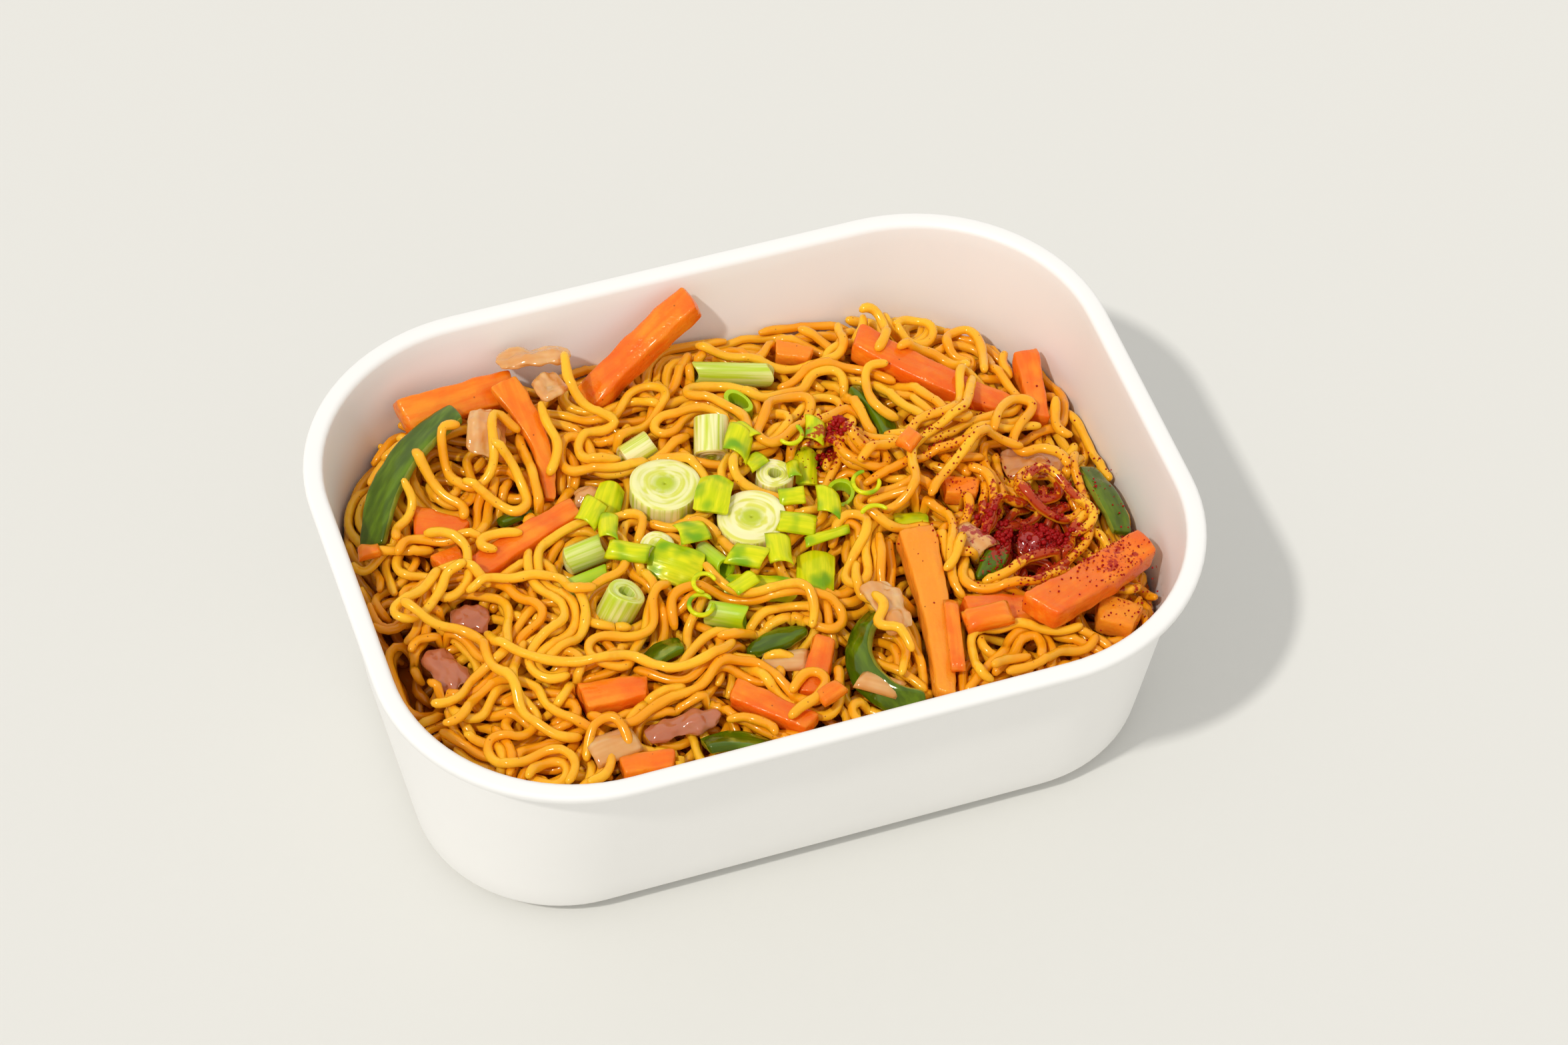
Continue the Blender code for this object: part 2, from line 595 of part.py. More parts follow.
def lay_strand(plan, relief):
    """Gives the strand its heights: it rests on what is below, sunk a little so as to fuse."""
    lowest = np.array([relief.ball_rests_at(p.x, p.y, NOODLE_RADIUS) for p in plan]) - FUSE
    heights = lowest.copy()
    for _ in range(SMOOTH_PASSES):
        padded = np.pad(heights, 2, mode="edge")
        smooth = sum(padded[k : k + len(heights)] for k in range(5)) / 5
        heights = np.maximum(smooth, lowest)
    ramp = int(END_RAMP / CELL)
    for k in range(ramp):
        dip = END_DIP * (1 - k / ramp) ** 2
        heights[k] -= dip
        heights[-1 - k] -= dip
    for p, z in zip(plan[::2], heights[::2]):
        relief.raise_by_ball(p.x, p.y, z, NOODLE_RADIUS)
    return [Vector((p.x, p.y, z)) for p, z in zip(plan, heights)]


def make_strand(name, points, collection):
    """One noodle as a closed tube along its points."""
    count = max(3, round(len(points) * CELL / POINT_SPACING))
    line = [points[round(k * (len(points) - 1) / (count - 1))] for k in range(count)]
    bm = bmesh.new()
    rings = []
    for k, centre in enumerate(line):
        along = (line[min(k + 1, count - 1)] - line[max(k - 1, 0)]).normalized()
        side = along.cross(Vector((0, 0, 1))).normalized()
        rise = side.cross(along)
        turns = [math.pi / 2 + 2 * math.pi * j / NOODLE_SIDES for j in range(NOODLE_SIDES)]
        spots = [centre + NOODLE_RADIUS * (math.cos(t) * side + math.sin(t) * rise) for t in turns]
        rings.append([bm.verts.new(spot) for spot in spots])
    for lower, upper in zip(rings, rings[1:]):
        bridge(bm, lower, upper)
    bm.faces.new(rings[0])
    bm.faces.new(rings[-1])
    bmesh.ops.triangulate(bm, faces=bm.faces)
    return make_object(name, bm, collection)


def barest_start(rng, relief, covered):
    """The free spot that is farthest from the noodles laid so far."""
    best, best_gap = None, -1.0
    for _ in range(START_TRIES):
        spot = Vector((rng.uniform(-0.5, 0.5) * BASE_LENGTH, rng.uniform(-0.55, 0.55) * BASE_WIDTH))
        if not relief.is_free(spot.x, spot.y, 2 * NOODLE_RADIUS):
            continue
        gap = min(((spot - p).length for p in covered), default=1.0)
        if gap > best_gap:
            best, best_gap = spot, gap
    return best


def make_strands(relief, collection):
    """Lays the noodles one after another on the heap and round the pieces on it."""
    rng = random.Random(SEED)
    covered = []
    made = 0
    while made < STRANDS:
        start = barest_start(rng, relief, covered)
        plans = [strand_plan(rng, start, rng.uniform(0, 2 * math.pi), relief) for _ in range(STRAND_TRIES)]
        plan = max(plans, key=relief.bare_length)
        covered += plan[::8] or [start]
        if len(plan) * CELL < SHORTEST_STRAND:
            continue
        make_strand(f"strand_{made}", lay_strand(plan, relief), collection)
        made += 1


def keep_largest_body(obj):
    """Drops loose scraps and fills any hollow that fusing has sealed."""
    bm = bmesh.new()
    bm.from_mesh(obj.data)
    left = set(bm.verts)
    bodies = []
    while left:
        body, edge = set(), [left.pop()]
        while edge:
            v = edge.pop()
            body.add(v)
            for other in (e.other_vert(v) for e in v.link_edges):
                if other in left:
                    left.discard(other)
                    edge.append(other)
        bodies.append(body)
    bodies.sort(key=len)
    for body in bodies[:-1]:
        bmesh.ops.delete(bm, geom=list(body), context="VERTS")
    bm.to_mesh(obj.data)
    bm.free()


def fuse(core, strands):
    """Joins the noodles to the heap's core as one solid."""
    union = core.modifiers.new("Fuse noodles", "BOOLEAN")
    union.operation = "UNION"
    union.operand_type = "COLLECTION"
    union.collection = strands
    union.solver = "MANIFOLD"
    apply_modifiers(core)
    for obj in list(strands.objects):
        bpy.data.objects.remove(obj)
    bpy.data.collections.remove(strands)
    keep_largest_body(core)


def make_collection(name):
    collection = bpy.data.collections.new(name)
    bpy.context.scene.collection.children.link(collection)
    return collection


def main():
    clear_scene()
    food_box = make_collection("noodle_takeaway_box")
    strands = make_collection("noodle_strands")
    board = make_material("White board", (0.88, 0.87, 0.84), 0.6)
    noodle = make_material("Sauced noodle", (0.76, 0.42, 0.08), 0.35)
    carrot = make_material("Carrot", (0.90, 0.30, 0.05), 0.35)
    pepper = make_material("Green pepper", (0.06, 0.20, 0.02), 0.25)
    onion = make_material("Fried onion", (0.66, 0.36, 0.20), 0.3)
    stalk = make_material("Spring onion stalk", (0.74, 0.80, 0.45), 0.4)
    leaf = make_material("Spring onion leaf", (0.36, 0.62, 0.05), 0.4)

    make_box(food_box, board)
    core = make_core(food_box, noodle)
    relief = Relief(core)
    kinds = (
        (CARROTS, make_carrot, carrot),
        (PEPPERS, make_pepper, pepper),
        (ONIONS, make_petal, onion),
        (SLICES, make_slice, stalk),
        (LEAVES, make_petal, leaf),
    )
    for pieces, make, material in kinds:
        for piece in pieces:
            obj = make(piece, food_box, material)
            put(obj, piece)
            relief.settle(obj)
    make_strands(relief, strands)
    fuse(core, strands)


main()
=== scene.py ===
"""Noodle takeaway box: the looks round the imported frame.

The box is modelled again with smooth corners. Carrots, peppers, onions and leaves are finer copies
of the frame's own. The noodles are laid one by one on a relief of the heap, under, round and over
what lies on it. Metres, +Z up; places in the lists are in millimetres and turns in degrees.
"""

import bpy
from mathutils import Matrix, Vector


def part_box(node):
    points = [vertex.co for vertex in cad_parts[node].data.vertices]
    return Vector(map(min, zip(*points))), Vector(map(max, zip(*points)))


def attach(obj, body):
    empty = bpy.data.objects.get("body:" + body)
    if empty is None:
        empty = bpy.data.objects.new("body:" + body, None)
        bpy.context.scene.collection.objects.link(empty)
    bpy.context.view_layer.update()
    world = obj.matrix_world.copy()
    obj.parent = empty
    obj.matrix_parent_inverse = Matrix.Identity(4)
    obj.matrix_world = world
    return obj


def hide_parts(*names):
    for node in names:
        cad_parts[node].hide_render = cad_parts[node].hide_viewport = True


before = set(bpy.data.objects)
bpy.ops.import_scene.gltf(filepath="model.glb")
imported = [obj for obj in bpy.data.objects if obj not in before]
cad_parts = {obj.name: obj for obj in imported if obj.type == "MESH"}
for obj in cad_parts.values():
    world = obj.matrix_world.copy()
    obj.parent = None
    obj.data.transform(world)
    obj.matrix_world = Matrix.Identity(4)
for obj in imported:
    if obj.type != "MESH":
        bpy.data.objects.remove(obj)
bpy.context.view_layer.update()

import math
import random
from collections import namedtuple

import bmesh
import bpy
import numpy as np
from bpy.props import FloatProperty, FloatVectorProperty, IntProperty, PointerProperty
from mathutils import Euler, Matrix, Vector, noise
from mathutils.bvhtree import BVHTree

bl_info = {
    "name": "Noodle takeaway box",
    "version": (1, 0, 0),
    "blender": (4, 5, 0),
    "location": "View3D > Sidebar > Takeaway",
    "description": "Builds a takeaway box of fried noodles and vegetables round a packed frame",
    "category": "Add Mesh",
}

MM = 0.001
NODES = sorted(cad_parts)

# The box, as the frame has it
BOX_LENGTH = 0.175
BOX_WIDTH = 0.133
BOX_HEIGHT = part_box("box")[1].z
RIM_CORNER = 0.042
BASE_LENGTH = 0.156
BASE_WIDTH = 0.096
BASE_CORNER = 0.030
BOARD = 0.0009
FOOT_RADIUS = 0.006
LIP_WIDTH = 0.0042
LIP_DROP = 0.0022
LIP_ROLL = 0.0012
CORNER_STEPS = 20
SIDE_STEPS = 8

# The heap of noodles, as the frame has it
HEAP_HEIGHT = 0.0460
HEAP_DOME = 0.0030
DOME_SHIFT = 0.005
DOME_LENGTH = 0.050
DOME_WIDTH = 0.036
HEAP_DROP_RIGHT = 0.0060
DROP_START = 0.030
DROP_RUN = 0.045

# The pile that noodles are laid up to is that heap with lumps, lower on the whole, and lower still
# at the back and at the right. The pairs say where a drop begins and ends in X or Y.
HEAP_LUMP = 0.0012
LUMP_SIZE = 0.022
MEAN_DEPTH = 0.0014
BACK_DROP = 0.0030
BACK_DROP_X = (0.000, 0.035)
BACK_DROP_Y = (0.015, 0.050)
RIGHT_DROP = 0.0022
RIGHT_DROP_X = (0.060, 0.080)
# The bed under the pile: its depth below the heap, its rings up the wall as (share of its height,
# gap to the wall), and its rings from there to the middle
BED_DEPTH = 0.0090
BED_SIDES = ((0.35, 0.002), (0.7, 0.001), (0.9, 0.001), (1.0, 0.001))
BED_RINGS = 12
# Within KEEP_CLEAR of a topping the pile stays KEEP_BELOW its top, but drops by CLEAR_DEPTH at most
KEEP_BELOW = 0.0016
KEEP_CLEAR = 0.0040
CLEAR_DEPTH = 0.0020
# Within WALL_REACH of the wall a noodle ends where it climbs WALL_CLIMB above the pile. The wall is
# noted in the cells from LOWEST_WALL up.
WALL_REACH = 0.0060
WALL_CLIMB = 0.0012
LOWEST_WALL = 0.030
# The pile's cells, the gap left to walls and toppings, and how far a noodle presses in
CELL = 0.0005
CLEAR = 0.0002
SINK = 0.0002
# Depth in the pile where the sauce colour starts to darken a noodle, partly sauce and partly painted shade,
# and the depth over which it does
SAUCE_SHADE_START = 0.0014
SAUCE_SHADE_RUN = 0.0052

# How noodles wander: the step, the tightest bend and the turns tried at each step
STEP = 0.0008
TIGHTEST_BEND = 0.0024
STEERS = np.linspace(-1.0, 1.0, 9)
# How far they look ahead, how much each look counts, and what it costs where the way is blocked
PROBES = np.array((0.0014, 0.0030, 0.0052))
PROBE_SHARES = np.array((1.0, 0.6, 0.3))
PROBE_BLOCKS = np.array((1000.0, 30.0, 8.0))
STUCK = 900
# Millimetres above the wanted height cost by their square, and those below it save a little. The
# way is blocked from FAR_ABOVE on, and no more is saved from FAR_BELOW on.
HIGH_COST = 0.45
LOW_COST = 0.05
MOST_COST = 20
FAR_ABOVE = 5
FAR_BELOW = 3
# Costs of missing the wave and of turning suddenly
MISS_COST = 3.0
EASE = 3.0
# Radians in each metre that a drift may curl, and the share of a miss that it gives way by
MOST_CURL = 12
GIVE_WAY = 0.06
START_TRIES = 40
# Fewest steps of a line to lay, of one to lay beside it, and fewest points of a tube
SHORTEST = 14
SHORTEST_BESIDE = 20
FEWEST_POINTS = 8

# Steps laid before a noodle can rest on itself, the length of a hump divided by pi, and the steps
# over which the ends dip
CHUNK = 8
HUMP_LENGTH = 0.007
END_STEPS = 6
# Swelling of a tube twice over, as (share, slowest, fastest), and its height as a share of its width
GIRTH_WAVES = ((0.06, 0.15, 0.4), (0.04, 0.7, 1.1))
FLATNESS = 0.95
# Girth of a tube's last ring and of the one before, and how far its tip sticks out, in radii
LAST_GIRTH = 0.62
NEXT_GIRTH = 0.93
TIP = 0.35

# Layers from the bottom up: how many noodles, their length, wavelength and swing, how far above the
# pile they may rise, the sides of a tube and the steps between its rings, how often heights are
# evened out, the share that others run beside, and how high humps may be
Layer = namedtuple("Layer", "name count length waves swings above sides spacing calm bundle lift")
LAYERS = [
    Layer("deep", 90, (0.05, 0.10), (0.020, 0.032), (0.8, 1.7), -0.0042, 6, 2, 4, 0.4, 0.0),
    Layer("middle", 100, (0.05, 0.11), (0.020, 0.032), (0.9, 1.8), -0.0022, 6, 2, 5, 0.5, 0.0),
    Layer("upper", 95, (0.05, 0.11), (0.018, 0.032), (1.1, 2.4), -0.0002, 8, 1, 6, 0.4, 0.0012),
    Layer("top", 90, (0.05, 0.12), (0.018, 0.034), (1.3, 2.7), 0.0016, 9, 1, 7, 0.3, 0.0030),
]

# Noodles laid last, over the toppings: x and y in turn of the places that each one passes through
DRAPES = [
    [62, 28, 60, 30, 58, 31, 56, 28, 54, 22, 51, 18, 47, 17, 42, 16, 38, 12, 31, 11, 26, 8],
    [59, 28, 56, 22, 53, 17, 49, 15, 44, 13, 39, 10, 37, 5, 36, 0, 33, -3, 27, -4],
    [62, 37, 59, 39, 59, 44, 62, 46, 65, 46, 66, 42, 65, 37, 63, 31],
    [46, 39, 51, 40, 55, 39, 58, 35, 60, 32],
    [58, 12, 61, 17, 66, 21, 70, 20, 68, 17, 65, 14, 62, 11, 63, 7, 67, 7, 70, 4, 70, -1],
    [49, 49, 52, 51, 56, 49, 57, 46, 54, 44, 50, 45, 49, 48],
    [42, 35, 38, 36, 36, 31, 36, 25, 40, 21],
    [59, -4, 63, -1, 66, -2, 68, -7, 70, -12, 70, -16, 67, -18, 64, -18],
    [63, 8, 58, 10, 54, 9, 48, 5, 42, 1, 38, -3],
    [42, 52, 45, 52, 46, 47, 44, 42, 41, 39],
    [-54, 15, -57, 17, -61, 17, -65, 19, -69, 19, -72, 16],
    [-66, 31, -65, 28, -67, 25, -70, 23, -71, 19],
    [-65, 19, -61, 17, -58, 13, -59, 8, -60, 4, -65, 2, -67, 4, -66, 8, -62, 8, -59, 6, -56, 1],
    [-46, 13, -50, 14, -54, 14, -55, 12, -52, 10],
    [-39, 38, -43, 41, -45, 37, -46, 32, -48, 29, -52, 28, -55, 31, -56, 35, -55, 40, -51, 40],
    [-46, 33, -43, 30, -42, 26, -42, 22, -45, 20, -48, 23, -51, 26, -54, 29],
    [-62, 37, -60, 32, -58, 28, -55, 25, -56, 22],
    [-33, 42, -33, 38, -32, 33, -34, 29, -36, 27],
    [-25, 51, -26, 44, -24, 40, -21, 38, -18, 36, -21, 35, -25, 35, -28, 32, -27, 27, -20, 26],
    [-60, 6, -64, 6, -66, 3, -72, -2, -76, -3, -77, 0, -73, 2, -68, 5, -65, 8],
    [-61, 1, -56, 2, -51, 1, -46, 0, -42, -2, -41, -7, -36, -8],
    [-6, -43, -2, -40, 1, -41, 1, -44, -2, -47, -5, -48, -9, -50],
    [-60, -9, -59, -15, -52, -21, -42, -25, -34, -25, -28, -31, -18, -31, -13, -28],
    [-75, 0, -71, -5, -65, -8, -62, -12, -62, -19, -59, -25, -59, -32, -54, -39, -49, -40],
    [-50, -45, -47, -40, -43, -39, -41, -42, -41, -46],
    [17, -27, 18, -31, 15, -35, 19, -38, 20, -43],
    [-13, -8, -10, -14, -5, -18, 4, -20, 5, -25, 3, -29],
    [41, -15, 37, -21, 34, -23],
]
DRAPE_CALM = 8
DRAPE_LIFT = 0.0010
DRAPE_SIDES = 11
KNOT_STEPS = 12

# Offcuts, which lie on top of the pile. Tilt and lean turn them about X and Y.
Bit = namedtuple("Bit", "x y yaw tilt lean length width thick curl")
LEAF_BITS = [
    Bit(4, 20, 60, 20, 0, 7.5, 7.0, 0.7, 120),
    Bit(6, 16, 30, 0, 10, 5.0, 4.0, 0.7, 60),
    Bit(21, 21, 70, 10, 0, 6.5, 4.5, 0.7, 80),
    Bit(13, 12, 80, 0, 20, 6.5, 3.0, 0.6, 90),
    Bit(10, 4, -10, 20, 0, 5.5, 4.0, 0.7, 60),
    Bit(9, -3, -20, 0, 10, 7.5, 6.0, 0.7, 70),
    Bit(17, 0, 75, 15, 0, 7.0, 5.6, 0.7, 100),
    Bit(14, -7, 5, -10, 0, 10.0, 3.2, 0.7, 90),
    Bit(3, -9, 80, 10, 0, 7.5, 5.6, 0.7, 90),
    Bit(-13, 0, 10, 0, 15, 6.5, 6.0, 0.7, 50),
    Bit(-4, -9, -30, 10, 0, 7.5, 5.6, 0.7, 80),
    Bit(-29, 7, 75, 0, 10, 7.5, 4.5, 0.7, 110),
    Bit(-27, -1, -25, 0, 0, 8.5, 6.0, 0.7, 130),
    Bit(-31, 12, 50, 10, 0, 6.5, 5.6, 0.7, 80),
    Bit(-7, -15, 20, -10, 0, 6.0, 4.5, 0.7, 70),
    Bit(6, 23, -60, 0, 0, 5.0, 4.0, 0.7, 110),
]
CARROT_BITS = [
    Bit(30, -40, -105, 0, 0, 18.0, 3.0, 2.6, 20),
    Bit(38, -38, -2, 0, 0, 10.0, 5.0, 4.0, 15),
    Bit(1, -47, 20, 0, 0, 6.0, 3.5, 3.0, 15),
    Bit(-77, 19, 10, 0, 20, 5.0, 3.0, 2.5, 15),
    Bit(38, 10, 40, 0, 0, 5.0, 4.0, 3.0, 15),
]
ONION_BITS = [
    Bit(-44, -44, 10, 0, 0, 10.0, 7.5, 1.3, 70),
    Bit(43, -15, -60, 10, 0, 8.0, 7.0, 1.3, 80),
    Bit(-4, -33, -15, 0, 0, 9.0, 5.5, 1.3, 70),
    Bit(12, -46, -30, 0, 10, 9.0, 5.0, 1.3, 90),
]
SLAB_CUTS = 10
# Shares of the points of an offcut that stay above the pile
LEAF_CLEAR = 0.97
CARROT_CLEAR = 0.8
ONION_CLEAR = 0.5
# Thin rings and curls of spring onion: place, size across, start and sweep
Curl = namedtuple("Curl", "x y size start sweep")
CURLS = [
    Curl(-17, -18, 5.0, 20, 330),
    Curl(-15, -14, 4.5, 0, 250),
    Curl(26, 3, 5.5, 80, 280),
    Curl(15, 20, 5.0, 200, 200),
    Curl(24, -9, 6.5, 30, 110),
]
CURL_POINTS = 26
CURL_SIDES = 9

# Chilli powder: where it fell, how far it spread and how thickly it lies
Dusting = namedtuple("Dusting", "x y spread amount")
DUSTINGS = [
    Dusting(50, -13, 5.0, 0.85),
    Dusting(61, -16, 5.0, 0.72),
    Dusting(24, 18, 4.5, 0.8),
    Dusting(53, -27, 4.0, 0.5),
    Dusting(70, -32, 6.0, 0.45),
    Dusting(44, 10, 4.0, 0.45),
    Dusting(58, -8, 14.0, 0.36),
    Dusting(66, -5, 5.0, 0.45),
    Dusting(57, -21, 4.0, 0.55),
]
# Grains at an amount of 1 and a spread of 4 mm, the amount above which every fourth is a lump, and
# the share of the spread that lumps keep to
GRAINS = 350
LUMPY = 0.7
LUMP_REACH = 0.45
LUMP_SIZES = (0.35, 0.75)
GRAIN_SIZES = (0.10, 0.28)
POWDER_HEIGHT = 0.045

# How each pepper strip was turned, in degrees: yaw, roll, and how far its skin faces up
PEPPER_TURNS = {
    "pepper_left_arc": (42, 10, 50), "pepper_front_hook": (94, 8, 42), "pepper_front_pod": (8, 5, 60),
    "pepper_front_bit": (20, 20, 40), "pepper_front_edge": (-20, 5, 55), "pepper_back_strip": (-80, 5, 50),
    "pepper_right_wall": (-88, 62, 0), "pepper_right_point": (-135, 5, 45), "pepper_left_bit": (8, 5, 50),
}
# How purple an onion petal is; the others are pale
ONION_TONES = {
    "onion_front_strip": 0.9, "onion_left_shiny": 0.9, "onion_left_low": 0.9, "onion_right_round": 0.9,
    "onion_right_crumpled": 0.6,
}
# How green a slice of spring onion is; the others are white
GREEN_STALKS = {
    "ring_green": 1.0, "tube_front": 0.9, "ring_low": 0.35, "tube_left": 0.45, "tube_low": 1.0,
    "tube_middle": 0.9, "tube_back": 0.55, "curl_back": 1.0, "disc_left": 0.1, "disc_right": 0.0,
}
STALK_TURNS = 56
SHARP_EDGE = math.radians(50)
# Edges count as parallel when their cosine is above this
SAME_WAY = 0.9995

# The camera, solved from the photograph's rim and base lines
AIM = Vector((11.95, 14.21, 31.06)) * MM
DISTANCE = 0.9933
AZIMUTH = math.radians(-19.43)
ELEVATION = math.radians(49.75)
ROLL = math.radians(0.97)
LENS = 107.22
SENSOR = 36.0
SUN_WAY = Vector((37, 23, -62))
SUN_SIZE = math.radians(3)


def colour_setting(name, description, default):
    return FloatVectorProperty(
        name=name, description=description, default=default, subtype="COLOR", min=0.0, max=1.0,
    )


class BoxSettings(bpy.types.PropertyGroup):
    colour: colour_setting("Board colour", "Colour of the moulded box", (0.91, 0.90, 0.875))
    roughness: FloatProperty(
        name="Board roughness", description="How matt the box is",
        subtype="FACTOR", min=0.0, max=1.0, default=0.42,
    )


class NoodleSettings(bpy.types.PropertyGroup):
    radius: FloatProperty(
        name="Noodle radius", description="Half the thickness of a noodle",
        unit="LENGTH", precision=5, default=0.00106,
    )
    colour: colour_setting("Noodle colour", "Colour of a noodle on top of the heap", (0.97, 0.51, 0.020))
    golden: colour_setting("Golden colour", "Colour of a noodle with more sauce on it", (0.90, 0.35, 0.005))
    # The sauce colour is also painted shade: noodles deep in the heap are darkened towards it
    sauce_and_shade: colour_setting("Sauce colour", "Colour of the sauce between the noodles", (0.40, 0.045, 0.001))
    seed: IntProperty(
        name="Seed", description="Another number lays the noodles another way", default=12,
    )


class ToppingSettings(bpy.types.PropertyGroup):
    carrot: colour_setting("Carrot colour", "Colour of the carrot sticks", (0.95, 0.20, 0.006))
    pepper: colour_setting("Pepper skin colour", "Colour of the green pepper's skin", (0.045, 0.092, 0.001))
    onion: colour_setting("Onion colour", "Colour of the fried onion", (0.76, 0.33, 0.075))
    leaf: colour_setting("Spring onion colour", "Colour of the spring onion's green", (0.55, 0.63, 0.001))
    chilli: colour_setting("Chilli colour", "Colour of the chilli powder", (0.42, 0.003, 0.004))


class StageSettings(bpy.types.PropertyGroup):
    floor: colour_setting("Floor colour", "Colour of the floor", (0.715, 0.712, 0.68))
    fill: FloatProperty(
        name="Fill light", description="Strength of the even light from all round",
        min=0.0, default=0.78,
    )
    sun: FloatProperty(
        name="Key light", description="Strength of the light from the left front",
        min=0.0, default=1.5,
    )


def in_edit_mode():
    bpy.ops.object.mode_set(mode="EDIT")
    bpy.ops.mesh.select_all(action="SELECT")


def in_object_mode():
    bpy.ops.object.mode_set(mode="OBJECT")


def only(obj):
    """Makes the object the one that is selected."""
    bpy.ops.object.select_all(action="DESELECT")
    obj.select_set(True)
    bpy.context.view_layer.objects.active = obj
    return obj


def new_object(name, mesh):
    obj = bpy.data.objects.new(name, mesh)
    bpy.context.scene.collection.objects.link(obj)
    return only(obj)


def mesh_object(name, points, faces):
    """An object made from points and faces, turned outward."""
    mesh = bpy.data.meshes.new(name)
    mesh.from_pydata(np.asarray(points).tolist(), [], faces)
    obj = new_object(name, mesh)
    in_edit_mode()
    bpy.ops.mesh.normals_make_consistent(inside=False)
    in_object_mode()
    return obj


def apply_modifier(obj, kind, **settings):
    """Adds a modifier to the object and makes its result the mesh."""
    modifier = obj.modifiers.new(kind.title(), kind)
    for setting, value in settings.items():
        setattr(modifier, setting, value)
    only(obj)
    bpy.ops.object.modifier_apply(modifier=modifier.name)


def subdivide(obj, levels):
    apply_modifier(obj, "SUBSURF", levels=levels, render_levels=levels)


def roughen(obj, *lumps):
    """Raises and lowers the surface by cloudy noise of each (size, depth) in millimetres."""
    for size, depth in lumps:
        texture = bpy.data.textures.new(f"{obj.name} lumps", "CLOUDS")
        texture.noise_scale = size * MM
        texture.noise_depth = 1
        apply_modifier(obj, "DISPLACE", texture=texture, texture_coords="LOCAL", strength=depth * MM)


def vectors_of(items, field):
    """A vector of each item, as the rows of an array."""
    values = np.empty(len(items) * 3, np.float32)
    items.foreach_get(field, values)
    return values.reshape(-1, 3).astype(float)


def points_of(mesh):
    return vectors_of(mesh.vertices, "co")


def normals_of(mesh):
    return vectors_of(mesh.vertex_normals, "vector")


def give(mesh, name, values):
    """Keeps a number or a vector for each vertex, or one number for all, for the material to read."""
    values = np.asarray(values, np.float32)
    if values.ndim == 0:
        values = np.full(len(mesh.vertices), values)
    kind, field = ("FLOAT", "value") if values.ndim == 1 else ("FLOAT_VECTOR", "vector")
    mesh.attributes.new(name, kind, "POINT").data.foreach_set(field, values.ravel())


def dust_at(points):
    """How thickly chilli powder lies at each point, from 0 to 1."""
    total = np.zeros(len(points))
    for d in DUSTINGS:
        away = (points[:, 0] - d.x * MM) ** 2 + (points[:, 1] - d.y * MM) ** 2
        total += d.amount * np.exp(-away / (2 * (d.spread * MM) ** 2))
    return np.minimum(total, 1.0)


def finish_piece(obj, material, slot, *nodes):
    """Gives a piece its material and its dust, and puts it in its nodes' place."""
    only(obj)
    obj.data.materials.clear()
    obj.data.materials.append(material)
    bpy.ops.object.shade_smooth()
    give(obj.data, "chilli", dust_at(points_of(obj.data)))
    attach(obj, "root")
    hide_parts(*nodes)
    return obj


def merged_copy(node):
    """A copy of a frame node with its own mesh, its corners merged and its faces paired."""
    obj = new_object(f"{node}_finished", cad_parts[node].data.copy())
    bpy.ops.mesh.customdata_custom_splitnormals_clear()
    in_edit_mode()
    bpy.ops.mesh.remove_doubles(threshold=0.02 * MM)
    bpy.ops.mesh.tris_convert_to_quads(face_threshold=math.radians(25), shape_threshold=math.radians(60))
    bpy.ops.mesh.normals_make_consistent(inside=False)
    in_object_mode()
    return obj


def main_axes(points):
    """Middle, and the directions of most and least spread as the rows of a matrix."""
    middle = points.mean(axis=0)
    _, _, rows = np.linalg.svd(points - middle, full_matrices=False)
    return middle, rows


def commonest_edge(mesh):
    """The direction that most of the mesh's edges share."""
    points = points_of(mesh)
    pairs = np.array([e.vertices[:] for e in mesh.edges])
    runs = points[pairs[:, 1]] - points[pairs[:, 0]]
    runs /= np.linalg.norm(runs, axis=1)[:, None]
    alike = np.abs(runs @ runs.T) > SAME_WAY
    return runs[alike.sum(axis=1).argmax()]


